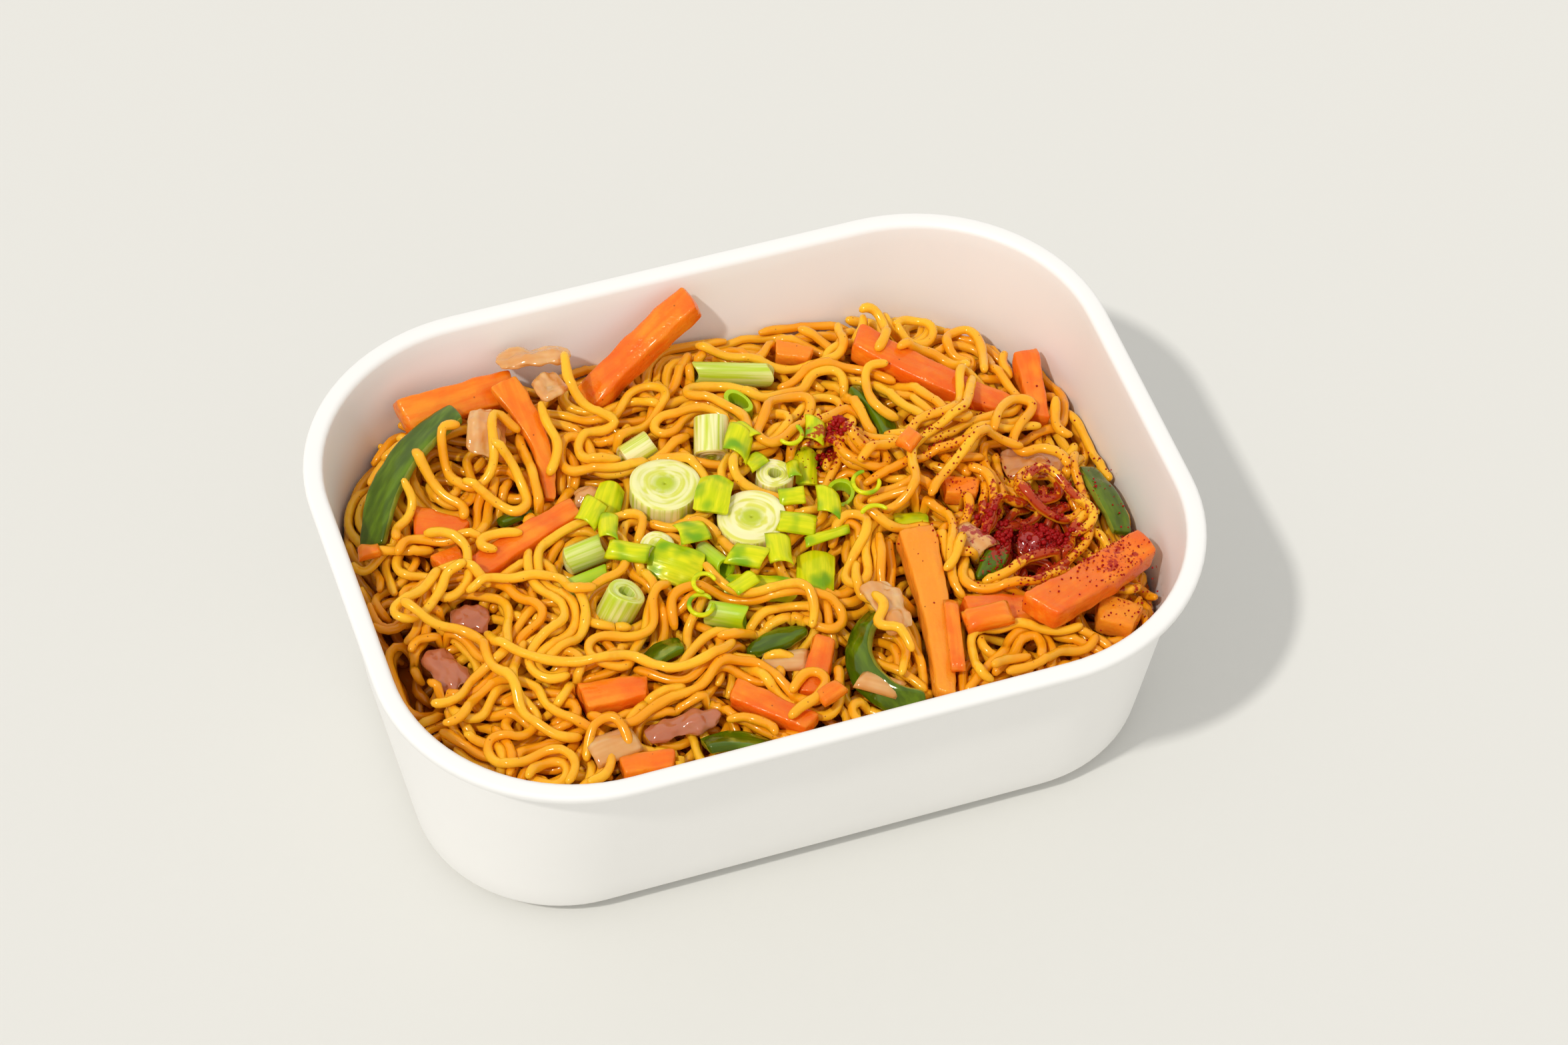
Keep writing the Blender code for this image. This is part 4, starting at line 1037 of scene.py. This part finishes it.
class Pile:
    """The heap over a grid of cells: its top so far, and the underside of what lies on it."""

    def __init__(self, radius):
        self.radius = radius
        across = (np.arange(int(BOX_LENGTH / CELL)) + 0.5) * CELL - BOX_LENGTH / 2
        down = (np.arange(int(BOX_WIDTH / CELL)) + 0.5) * CELL - BOX_WIDTH / 2
        self.x, self.y = np.meshgrid(across, down)
        lumps = [noise.noise(Vector((x, y, 0)) / LUMP_SIZE) for x, y in zip(self.x.flat, self.y.flat)]
        lumps = HEAP_LUMP * np.reshape(lumps, self.x.shape)
        self.target = heap_height(self.x, self.y) + lumps - MEAN_DEPTH
        self.target -= BACK_DROP * smooth(self.x, *BACK_DROP_X) * smooth(self.y, *BACK_DROP_Y)
        self.target -= RIGHT_DROP * smooth(self.x, *RIGHT_DROP_X)
        self.top = heap_height(self.x, self.y) - BED_DEPTH
        for height in np.arange(LOWEST_WALL, BOX_HEIGHT + CELL, CELL):
            outside = room_inside(self.x, self.y, height) < CLEAR
            self.top[outside] = np.maximum(self.top[outside], height)
        self.roof = np.full(self.top.shape, 1.0)
        self.cover = np.full(self.top.shape, -1.0)
        reach = int(radius / CELL)
        offsets = [
            (r, c, math.sqrt(radius**2 - (r * r + c * c) * CELL**2))
            for r in range(-reach, reach + 1)
            for c in range(-reach, reach + 1)
            if (r * r + c * c) * CELL**2 < radius**2
        ]
        self.rows, self.columns, self.rise = (np.array(part) for part in zip(*offsets))
        for node in NODES:
            if node not in ("box", "noodles"):
                self.note_topping(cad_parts[node].data)
        self.keep_toppings_clear()

    def cells_at(self, places):
        columns = ((places[:, 0] + BOX_LENGTH / 2) / CELL).astype(int)
        rows = ((places[:, 1] + BOX_WIDTH / 2) / CELL).astype(int)
        margin = int(self.radius / CELL) + 1
        rows = np.clip(rows, margin, self.top.shape[0] - margin - 1)
        return rows, np.clip(columns, margin, self.top.shape[1] - margin - 1)

    def window(self, grid, places):
        rows, columns = self.cells_at(places)
        return grid[rows[:, None] + self.rows, columns[:, None] + self.columns]

    def rest(self, places):
        """The height of a noodle's middle when it lies on the pile at each place."""
        return (self.window(self.top, places) + self.rise).max(axis=1)

    def under(self, places):
        """The greatest height of a noodle's middle below what lies over each place."""
        return (self.window(self.roof, places) - self.rise).min(axis=1) - CLEAR

    def raise_along(self, places, heights):
        rows, columns = self.cells_at(places)
        reach = (rows[:, None] + self.rows, columns[:, None] + self.columns)
        np.maximum.at(self.top, reach, heights[:, None] + self.rise)

    def note_topping(self, mesh):
        corners = [v.co.copy() for v in mesh.vertices]
        tree = BVHTree.FromPolygons(corners, [tuple(p.vertices) for p in mesh.polygons])
        ends = np.array([[c.x, c.y] for c in corners])
        ends = np.array([ends.min(axis=0), ends.max(axis=0)])
        rows, columns = self.cells_at(ends)
        for row in range(rows[0], rows[1] + 1):
            for column in range(columns[0], columns[1] + 1):
                spot = (self.x[row, column], self.y[row, column])
                below = tree.ray_cast(Vector((*spot, -1.0)), Vector((0, 0, 1)))[0]
                above = tree.ray_cast(Vector((*spot, 1.0)), Vector((0, 0, -1)))[0]
                if below and above:
                    self.roof[row, column] = min(self.roof[row, column], below.z)
                    self.cover[row, column] = max(self.cover[row, column], above.z)

    def keep_toppings_clear(self):
        """Lowers the heap round each topping, so that noodles beside it don't hide it."""
        reach = int(KEEP_CLEAR / CELL)
        lid = np.where(self.cover > 0, self.cover - KEEP_BELOW, 1.0)
        near = np.pad(lid, reach, constant_values=1.0)
        rows, columns = lid.shape
        floor = self.target - CLEAR_DEPTH
        for down in range(-reach, reach + 1):
            for side in range(-reach, reach + 1):
                if down * down + side * side <= reach * reach:
                    part = near[reach + down : reach + down + rows, reach + side : reach + side + columns]
                    self.target = np.minimum(self.target, np.maximum(part, floor))

    def open_roof(self):
        """From now on noodles lie over the toppings, not under them."""
        self.top = np.maximum(self.top, self.cover)
        self.roof[:] = 1.0

    def lay(self, plan, calm, lift=0.0, phase=0.0):
        """Heights along a plan: the noodle rests on the pile, and on itself where it crosses."""
        lowest = np.empty(len(plan))
        for start in range(0, len(plan), CHUNK):
            part = slice(start, start + CHUNK)
            lowest[part] = self.rest(plan[part]) - SINK
            before = slice(max(start - CHUNK, 0), start)
            if start:
                self.raise_along(plan[before], lowest[before])
        heights = lowest.copy()
        for _ in range(calm):
            padded = np.pad(heights, 2, mode="edge")
            heights = np.maximum(sum(padded[k : k + len(heights)] for k in range(5)) / 5, lowest)
        if lift:
            hump = np.maximum(0, np.sin(np.arange(len(plan)) * STEP / HUMP_LENGTH + phase)) ** 2
            heights = heights + lift * hump
        heights = np.maximum(np.minimum(heights, self.under(plan)), np.minimum(lowest, self.under(plan)))
        ramp = min(END_STEPS, len(plan) // 3)
        dip = 0.5 * self.radius * (1 - np.arange(ramp) / ramp) ** 2
        heights[:ramp] -= dip
        heights[-ramp:] -= dip[::-1]
        self.raise_along(plan, heights)
        return np.column_stack((plan, heights))


def within_half_turn(angle):
    return (angle + math.pi) % (2 * math.pi) - math.pi


def grow(pile, rng, layer, spots, steps, drift, phase, swing, wave):
    """Adds spots to a line until it is long enough or stuck. It swings about its drift."""
    curl = rng.uniform(-MOST_CURL, MOST_CURL)
    beat = 2 * math.pi * STEP / wave * rng.uniform(0.75, 1.25)
    way = drift + swing * math.sin(phase)
    turned = 0.0
    steers = STEERS * STEP / TIGHTEST_BEND
    bend = steers[:, None] * PROBES / STEP
    for k in range(steps - len(spots)):
        angle = beat * k + phase
        if math.sin(angle) * math.sin(angle - beat) <= 0:
            swing = min(max(swing * rng.uniform(0.8, 1.25), layer.swings[0]), layer.swings[1])
        drift += curl * STEP
        wanted = drift + swing * math.sin(angle)
        miss = within_half_turn(wanted - way)
        headings = way + bend / 2
        x = spots[-1][0] + PROBES * np.cos(headings)
        y = spots[-1][1] + PROBES * np.sin(headings)
        places = np.column_stack((x.ravel(), y.ravel()))
        rest = pile.rest(places)
        rows, columns = pile.cells_at(places)
        over = (rest + pile.radius - pile.target[rows, columns] - layer.above) / MM
        blocked = ((rest > pile.under(places)) | (over > FAR_ABOVE)).reshape(bend.shape)
        cost = np.maximum(over, 0) ** 2 * HIGH_COST + np.clip(over, -FAR_BELOW, 0) * LOW_COST
        cost = np.minimum(cost.reshape(bend.shape), MOST_COST) * PROBE_SHARES + blocked * PROBE_BLOCKS
        cost = cost.sum(axis=1)
        cost += MISS_COST * (miss - steers) ** 2 + EASE * (steers - turned) ** 2
        choice = cost.argmin()
        if cost[choice] > STUCK:
            break
        turned = steers[choice]
        way += turned
        drift -= GIVE_WAY * within_half_turn(wanted - way)
        spots.append(spots[-1] + STEP * np.array([math.cos(way), math.sin(way)]))


def wander(pile, rng, layer):
    """A wavy line in plan that bends round what it can't go under or over."""
    best, most = None, -1.0
    for _ in range(START_TRIES):
        spot = np.array([[rng.uniform(-0.5, 0.5) * BOX_LENGTH, rng.uniform(-0.5, 0.5) * BOX_WIDTH]])
        if room_inside(spot[0, 0], spot[0, 1], HEAP_HEIGHT) < 1.5 * pile.radius:
            continue
        rest = pile.rest(spot)[0]
        if rest > pile.under(spot)[0]:
            continue
        row, column = pile.cells_at(spot)
        room = pile.target[row, column][0] + layer.above - rest - pile.radius
        if room > most:
            best, most = spot[0], room
    if best is None:
        return None
    swing = rng.uniform(*layer.swings)
    wave = max(rng.uniform(*layer.waves), 2 * math.pi * swing * TIGHTEST_BEND * 1.15)
    drift = rng.uniform(0, 2 * math.pi)
    phase = rng.uniform(0, 2 * math.pi)
    steps = int(rng.uniform(*layer.length) / STEP)
    spots = [best]
    for start in (drift, drift + math.pi):
        grow(pile, rng, layer, spots, steps, start, phase, swing, wave)
        spots.reverse()
    return eased(np.array(spots), 4)


def eased(line, passes):
    """The line with its corners rounded off by averaging, its ends kept."""
    for _ in range(passes):
        line[1:-1] = (line[:-2] + line[1:-1] + line[2:]) / 3
    return even(line, STEP)


def beside(pile, plan, offset, rng):
    """A second line that runs beside the first for part of its length, as noodles in a bundle do."""
    trim = rng.randrange(0, max(1, len(plan) // 4))
    line = plan[trim : len(plan) - rng.randrange(0, max(1, len(plan) // 4))]
    if len(line) < SHORTEST_BESIDE:
        return None
    run = np.gradient(line, axis=0)
    run /= np.linalg.norm(run, axis=1)[:, None]
    line = eased(line + offset * np.column_stack((-run[:, 1], run[:, 0])), 4)
    rest = pile.rest(line)
    fine = (rest < pile.under(line)) & (room_inside(line[:, 0], line[:, 1], HEAP_HEIGHT) > pile.radius)
    stop = len(line) if fine.all() else int(np.argmin(fine))
    return line[:stop] if stop > SHORTEST_BESIDE else None


def even(line, spacing):
    """The line with its points moved to an even spacing."""
    run = np.concatenate(([0], np.cumsum(np.linalg.norm(np.diff(line, axis=0), axis=1))))
    count = max(4, round(run[-1] / spacing) + 1)
    at = np.linspace(0, run[-1], count)
    return np.column_stack([np.interp(at, run, part) for part in line.T])


class Tubes:
    """Many closed tubes gathered into one mesh, with the tone of each point and its depth, which sets its
    painted shade.
    """

    def __init__(self):
        self.points, self.faces, self.tones, self.depths = [], [], [], []
        self.count = 0

    def add(self, line, radius, sides, tone, depth, rng):
        """A round tube along a line. Its ends are closed and a little rounded."""
        count = len(line)
        run = np.gradient(line, axis=0)
        run /= np.linalg.norm(run, axis=1)[:, None]
        side = np.cross(run, (0.0, 0.0, 1.0))
        side /= np.maximum(np.linalg.norm(side, axis=1), 1e-6)[:, None]
        up = np.cross(side, run)
        turns = 2 * np.pi * np.arange(sides) / sides
        girth = np.full(count, radius)
        for share, slowest, fastest in GIRTH_WAVES:
            girth *= 1 + share * np.sin(np.arange(count) * rng.uniform(slowest, fastest) + rng.uniform(0, 6))
        girth[[0, -1]] *= LAST_GIRTH
        girth[[1, -2]] *= NEXT_GIRTH
        flat, rise = np.cos(turns)[None, :, None], FLATNESS * np.sin(turns)[None, :, None]
        points = line[:, None] + girth[:, None, None] * (flat * side[:, None] + rise * up[:, None])
        ends = np.array([line[0] - TIP * radius * run[0], line[-1] + TIP * radius * run[-1]])
        first = self.count
        k, j = np.meshgrid(np.arange(count - 1), np.arange(sides), indexing="ij")
        a = first + k * sides + j
        b = first + k * sides + (j + 1) % sides
        self.faces += np.stack((a, b, b + sides, a + sides), axis=-1).reshape(-1, 4)[:, ::-1].tolist()
        last = first + (count - 1) * sides
        tip = first + count * sides
        for j in range(sides):
            self.faces.append((first + j, first + (j + 1) % sides, tip))
            self.faces.append((last + (j + 1) % sides, last + j, tip + 1))
        self.points.append(np.vstack((points.reshape(-1, 3), ends)))
        self.tones.append(np.full(count * sides + 2, tone))
        self.depths.append(np.concatenate((np.repeat(depth, sides), depth[[0, -1]])))
        self.count += count * sides + 2

    def make(self, name):
        obj = mesh_object(name, np.vstack(self.points), self.faces)
        give(obj.data, "tone", np.concatenate(self.tones))
        give(obj.data, "sunk_sauce_and_shade", np.concatenate(self.depths))
        return obj


def off_the_wall(pile, path):
    """The longest run of a path that doesn't climb the wall of the box."""
    rows, columns = pile.cells_at(path)
    beside_wall = room_inside(path[:, 0], path[:, 1], HEAP_HEIGHT) < WALL_REACH
    climbs = beside_wall & (path[:, 2] > pile.target[rows, columns] + WALL_CLIMB)
    runs = np.split(np.arange(len(path)), np.flatnonzero(climbs))
    return path[max(runs, key=len)[1:]]


def sauce_shade_share(pile, line):
    """How much sauce and painted shade darken a noodle: 0 on top of the heap, and 1 far down in it."""
    rows, columns = pile.cells_at(line)
    return np.clip((pile.target[rows, columns] - SAUCE_SHADE_START - line[:, 2]) / SAUCE_SHADE_RUN, 0, 1)


def curve_through(places):
    """A smooth line through places, given as x and y in turn in millimetres, at even steps."""
    knots = np.reshape(places, (-1, 2)) * MM
    knots = np.vstack((2 * knots[0] - knots[1], knots, 2 * knots[-1] - knots[-2]))
    share = np.linspace(0, 1, KNOT_STEPS, endpoint=False)[:, None]
    line = []
    for a, b, c, d in zip(knots, knots[1:], knots[2:], knots[3:]):
        cubic = 2 * a - 5 * b + 4 * c - d + share * (3 * (b - c) + d - a)
        line.append(b + share / 2 * (c - a + share * cubic))
    return eased(even(np.vstack(line), STEP), 2)


def drape(pile, rng):
    """Lays the noodles that pass over the toppings, each at its own place."""
    tubes = Tubes()
    pile.open_roof()
    for places in DRAPES:
        path = pile.lay(curve_through(places), DRAPE_CALM, DRAPE_LIFT, rng.uniform(0, 6.3))
        radius = pile.radius * rng.uniform(0.96, 1.06)
        tubes.add(path, radius, DRAPE_SIDES, rng.uniform(0.5, 1), 0 * path[:, 0], rng)
    return tubes


def lay_layer(pile, layer, rng):
    tubes = Tubes()
    for _ in range(layer.count):
        plan = wander(pile, rng, layer)
        if plan is None or len(plan) < SHORTEST:
            continue
        plans = [plan]
        if rng.random() < layer.bundle:
            sides = rng.choice(((1,), (-1,), (1, -1)))
            plans += [beside(pile, plan, 2.05 * s * pile.radius, rng) for s in sides]
        tone = rng.random()
        for line in plans:
            if line is None:
                continue
            path = pile.lay(line, layer.calm, layer.lift * rng.random() ** 2, rng.uniform(0, 6.3))
            path = off_the_wall(pile, path)[:: layer.spacing]
            if len(path) < FEWEST_POINTS:
                continue
            radius = pile.radius * rng.uniform(0.94, 1.05)
            tone_here = min(max(tone + rng.uniform(-0.2, 0.2), 0), 1)
            tubes.add(path, radius, layer.sides, tone_here, sauce_shade_share(pile, path), rng)
    return tubes


def joined(name, parts):
    """One object from many (points, faces) parts."""
    faces, first = [], 0
    for points, part_faces in parts:
        faces += [[first + k for k in face] for face in part_faces]
        first += len(points)
    return mesh_object(name, np.vstack([points for points, _ in parts]), faces)


def slab(bit, rng):
    """A thin closed slab, bowed across by its curl, with a wavy face and blunt edges."""
    cuts = SLAB_CUTS
    u, v = np.meshgrid(np.linspace(-1, 1, cuts + 1), np.linspace(-1, 1, cuts + 1), indexing="ij")
    blunt = np.sqrt(np.clip(1 - np.maximum(np.abs(u), np.abs(v)) ** 8, 0.12, 1))
    half = bit.thick * MM / 2 * blunt
    curl = math.radians(bit.curl) / 2
    round_off = bit.width * MM / 2 / curl
    wave = 0.25 * MM * np.sin(2.5 * u + rng.uniform(0, 6)) * np.cos(2 * v + rng.uniform(0, 6))
    points = []
    for side in (1, -1):
        reach = round_off + side * half + wave
        x = u * bit.length * MM / 2 + 0.15 * bit.width * MM * v * rng.choice((0, 1))
        points.append(np.stack((x, reach * np.sin(v * curl), reach * np.cos(v * curl) - round_off), axis=-1))
    points = np.concatenate([p.reshape(-1, 3) for p in points])
    row, count = cuts + 1, (cuts + 1) ** 2
    faces = []
    for i in range(cuts):
        for j in range(cuts):
            a = i * row + j
            faces.append((a, a + row, a + row + 1, a + 1))
            faces.append((count + a, count + a + 1, count + a + row + 1, count + a + row))
    ring = list(range(cuts)) + [i * row + cuts for i in range(cuts)]
    ring += [cuts * row + cuts - j for j in range(cuts)] + [(cuts - i) * row for i in range(cuts)]
    for a, b in zip(ring, ring[1:] + ring[:1]):
        faces.append((a, b, count + b, count + a))
    return points, faces


def scatter_bits(pile):
    """Lays the offcuts of leaf, carrot and onion on the pile, and the thin green curls."""
    kinds = (
        ("leaf_bits", LEAF_BITS, leaf_material(), "spring_onion_leaf", LEAF_CLEAR),
        ("carrot_bits", CARROT_BITS, carrot_material(), "carrot", CARROT_CLEAR),
        ("onion_bits", ONION_BITS, onion_material(), "onion", ONION_CLEAR),
    )
    rng = random.Random(3)
    for name, bits, material, slot, clear in kinds:
        parts, grains = [], []
        for bit in bits:
            points, faces = slab(bit, rng)
            turn = Euler([math.radians(a) for a in (bit.tilt, bit.lean, bit.yaw)]).to_matrix()
            grains.append(points)
            points = points @ np.array(turn).T + np.array((bit.x * MM, bit.y * MM, 0))
            rows, columns = pile.cells_at(points)
            lie = np.sort(pile.top[rows, columns] - points[:, 2])[int(clear * len(points))]
            parts.append((points + (0, 0, lie), faces))
        obj = joined(name, parts)
        give(obj.data, "grain", np.vstack(grains))
        give(obj.data, "tone", 0.4)
        finish_piece(obj, material, slot)
    tubes = Tubes()
    for curl in CURLS:
        turns = np.radians(curl.start + np.linspace(0, curl.sweep, CURL_POINTS))
        reach = curl.size * MM / 2 * np.column_stack((np.cos(turns), np.sin(turns)))
        line = np.array((curl.x * MM, curl.y * MM)) + reach
        heights = pile.rest(line)
        heights = np.full(len(line), np.sort(heights)[-4]) + 0.3 * MM * np.sin(turns)
        tubes.add(np.column_stack((line, heights)), 0.5 * MM, CURL_SIDES, 0.5, 0 * heights, rng)
    obj = tubes.make("green_curls")
    give(obj.data, "grain", points_of(obj.data))
    finish_piece(obj, leaf_material(), "spring_onion_leaf")


def scatter_powder(pile, rng):
    """Chilli powder as small grains, with lumps where it lies thickest."""
    bpy.ops.mesh.primitive_ico_sphere_add(subdivisions=1, radius=1.0)
    template = bpy.context.object
    ball = points_of(template.data)
    faces = [tuple(p.vertices) for p in template.data.polygons]
    bpy.data.objects.remove(template)
    parts = []
    for d in DUSTINGS:
        for k in range(int(d.amount * GRAINS * d.spread / 4)):
            lump = d.amount > LUMPY and k % 4 == 0
            reach = d.spread * (LUMP_REACH if lump else 1.0)
            x, y = rng.gauss(d.x, reach) * MM, rng.gauss(d.y, reach) * MM
            if room_inside(x, y, POWDER_HEIGHT) < 2 * MM:
                continue
            size = rng.uniform(*(LUMP_SIZES if lump else GRAIN_SIZES))
            rough = np.array([[rng.uniform(0.7, 1.25)] for _ in ball])
            row, column = pile.cells_at(np.array([[x, y]]))
            height = pile.top[row, column][0] + 0.2 * size * MM
            parts.append((ball * rough * size * MM + (x, y, height), faces))
    obj = joined("chilli_powder", parts)
    finish_piece(obj, powder_material(), "noodle")


class LayNoodles(bpy.types.Operator):
    """Lays the noodles from the bottom of the box up, and the last of them over the toppings"""

    bl_idname = "takeaway.lay_noodles"
    bl_label = "Lay the noodles"

    def execute(self, context):
        settings = context.scene.takeaway_noodles
        pile = Pile(settings.radius)
        rng = random.Random(settings.seed)
        material = noodle_material()
        bed = self.make_bed(material)
        for layer in LAYERS:
            tubes = lay_layer(pile, layer, rng)
            finish_piece(tubes.make(f"noodles_{layer.name}"), material, "noodle")
        finish_piece(drape(pile, rng).make("noodles_draped"), material, "noodle")
        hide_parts("noodles")
        scatter_bits(pile)
        scatter_powder(pile, rng)
        return {"FINISHED"}

    def make_bed(self, material):
        """The bed of the heap under the noodles that show. It takes the full sauce colour, partly sauce and
        partly painted shade in the gaps.
        """
        rings = []
        for share, gap in BED_SIDES:
            level = share * (HEAP_HEIGHT - BED_DEPTH - HEAP_DROP_RIGHT)
            rings.append(np.array([tuple(p) for p in outline(max(level, 2 * BOARD), -gap)]))
        rim = rings[-1]
        for k in range(BED_RINGS):
            x, y = (rim * (1 - k / BED_RINGS)).T[:2]
            rings.append(np.column_stack((x, y, heap_height(x, y) - BED_DEPTH)))
        count = len(rim)
        last = count * (len(rings) - 1)
        faces = [(*range(count),)[::-1], (*range(last, last + count),)]
        for first in range(0, last, count):
            for j in range(count):
                a, b = first + j, first + (j + 1) % count
                faces.append((a, b, b + count, a + count))
        obj = mesh_object("noodle_bed", np.vstack(rings), faces)
        subdivide(obj, 1)
        roughen(obj, (4, 2.0))
        give(obj.data, "tone", 0.3)
        # Painted shade: the whole bed takes the darkest sauce colour, so gaps between noodles look deep
        give(obj.data, "sunk_sauce_and_shade", 1.0)
        return finish_piece(obj, material, "noodle")


class SetStage(bpy.types.Operator):
    """Sets the pale floor, the lights and the camera"""

    bl_idname = "takeaway.set_stage"
    bl_label = "Set the stage"

    def execute(self, context):
        look = context.scene.takeaway_stage
        bpy.ops.object.select_all(action="DESELECT")
        bpy.ops.mesh.primitive_plane_add(size=6.0)
        floor = context.object
        floor.name = "floor"
        floor.data.materials.append(floor_material())

        world = bpy.data.worlds.new("Studio")
        world.use_nodes = True
        sky = world.node_tree.nodes["Background"]
        sky.inputs["Color"].default_value = (1.0, 0.985, 0.96, 1.0)
        sky.inputs["Strength"].default_value = look.fill
        context.scene.world = world

        bpy.ops.object.light_add(type="SUN")
        sun = context.object
        sun.rotation_euler = SUN_WAY.to_track_quat("-Z", "Y").to_euler()
        sun.data.energy = look.sun
        sun.data.angle = SUN_SIZE
        sun.data.color = (1.0, 0.97, 0.92)

        back = Vector((
            math.sin(AZIMUTH) * math.cos(ELEVATION),
            -math.cos(AZIMUTH) * math.cos(ELEVATION),
            math.sin(ELEVATION),
        ))
        turn = (-back).to_track_quat("-Z", "Y").to_matrix().to_4x4() @ Matrix.Rotation(ROLL, 4, "Z")
        bpy.ops.object.camera_add()
        camera = context.object
        camera.matrix_world = Matrix.Translation(AIM + DISTANCE * back) @ turn
        camera.data.lens = LENS
        camera.data.sensor_width = SENSOR
        camera.data.clip_start = 0.05
        context.scene.camera = camera
        context.scene.view_settings.view_transform = "Standard"
        return {"FINISHED"}


STEPS = (
    MakeBox,
    CutCarrots,
    SlicePeppers,
    PeelOnions,
    ChopSpringOnions,
    LayNoodles,
    SetStage,
)
SETTINGS = {
    "takeaway_box": BoxSettings,
    "takeaway_noodles": NoodleSettings,
    "takeaway_toppings": ToppingSettings,
    "takeaway_stage": StageSettings,
}


class TakeawayPanel(bpy.types.Panel):
    """Lists the settings and the steps that make the meal"""

    bl_idname = "VIEW3D_PT_takeaway"
    bl_label = "Noodle takeaway box"
    bl_space_type = "VIEW_3D"
    bl_region_type = "UI"
    bl_category = "Takeaway"

    def draw(self, context):
        for name, group in SETTINGS.items():
            column = self.layout.column(align=True)
            for setting in group.__annotations__:
                column.prop(getattr(context.scene, name), setting)
        column = self.layout.column(align=True)
        for step in STEPS:
            column.operator(step.bl_idname)


def register():
    for group in (*SETTINGS.values(), *STEPS, TakeawayPanel):
        bpy.utils.register_class(group)
    for name, group in SETTINGS.items():
        setattr(bpy.types.Scene, name, PointerProperty(type=group))


def unregister():
    for name in SETTINGS:
        delattr(bpy.types.Scene, name)
    for group in (TakeawayPanel, *reversed(STEPS), *SETTINGS.values()):
        bpy.utils.unregister_class(group)


def main():
    """Makes every piece in order."""
    register()
    for step in STEPS:
        group, name = step.bl_idname.split(".")
        getattr(getattr(bpy.ops, group), name)()


if __name__ == "__main__":
    main()
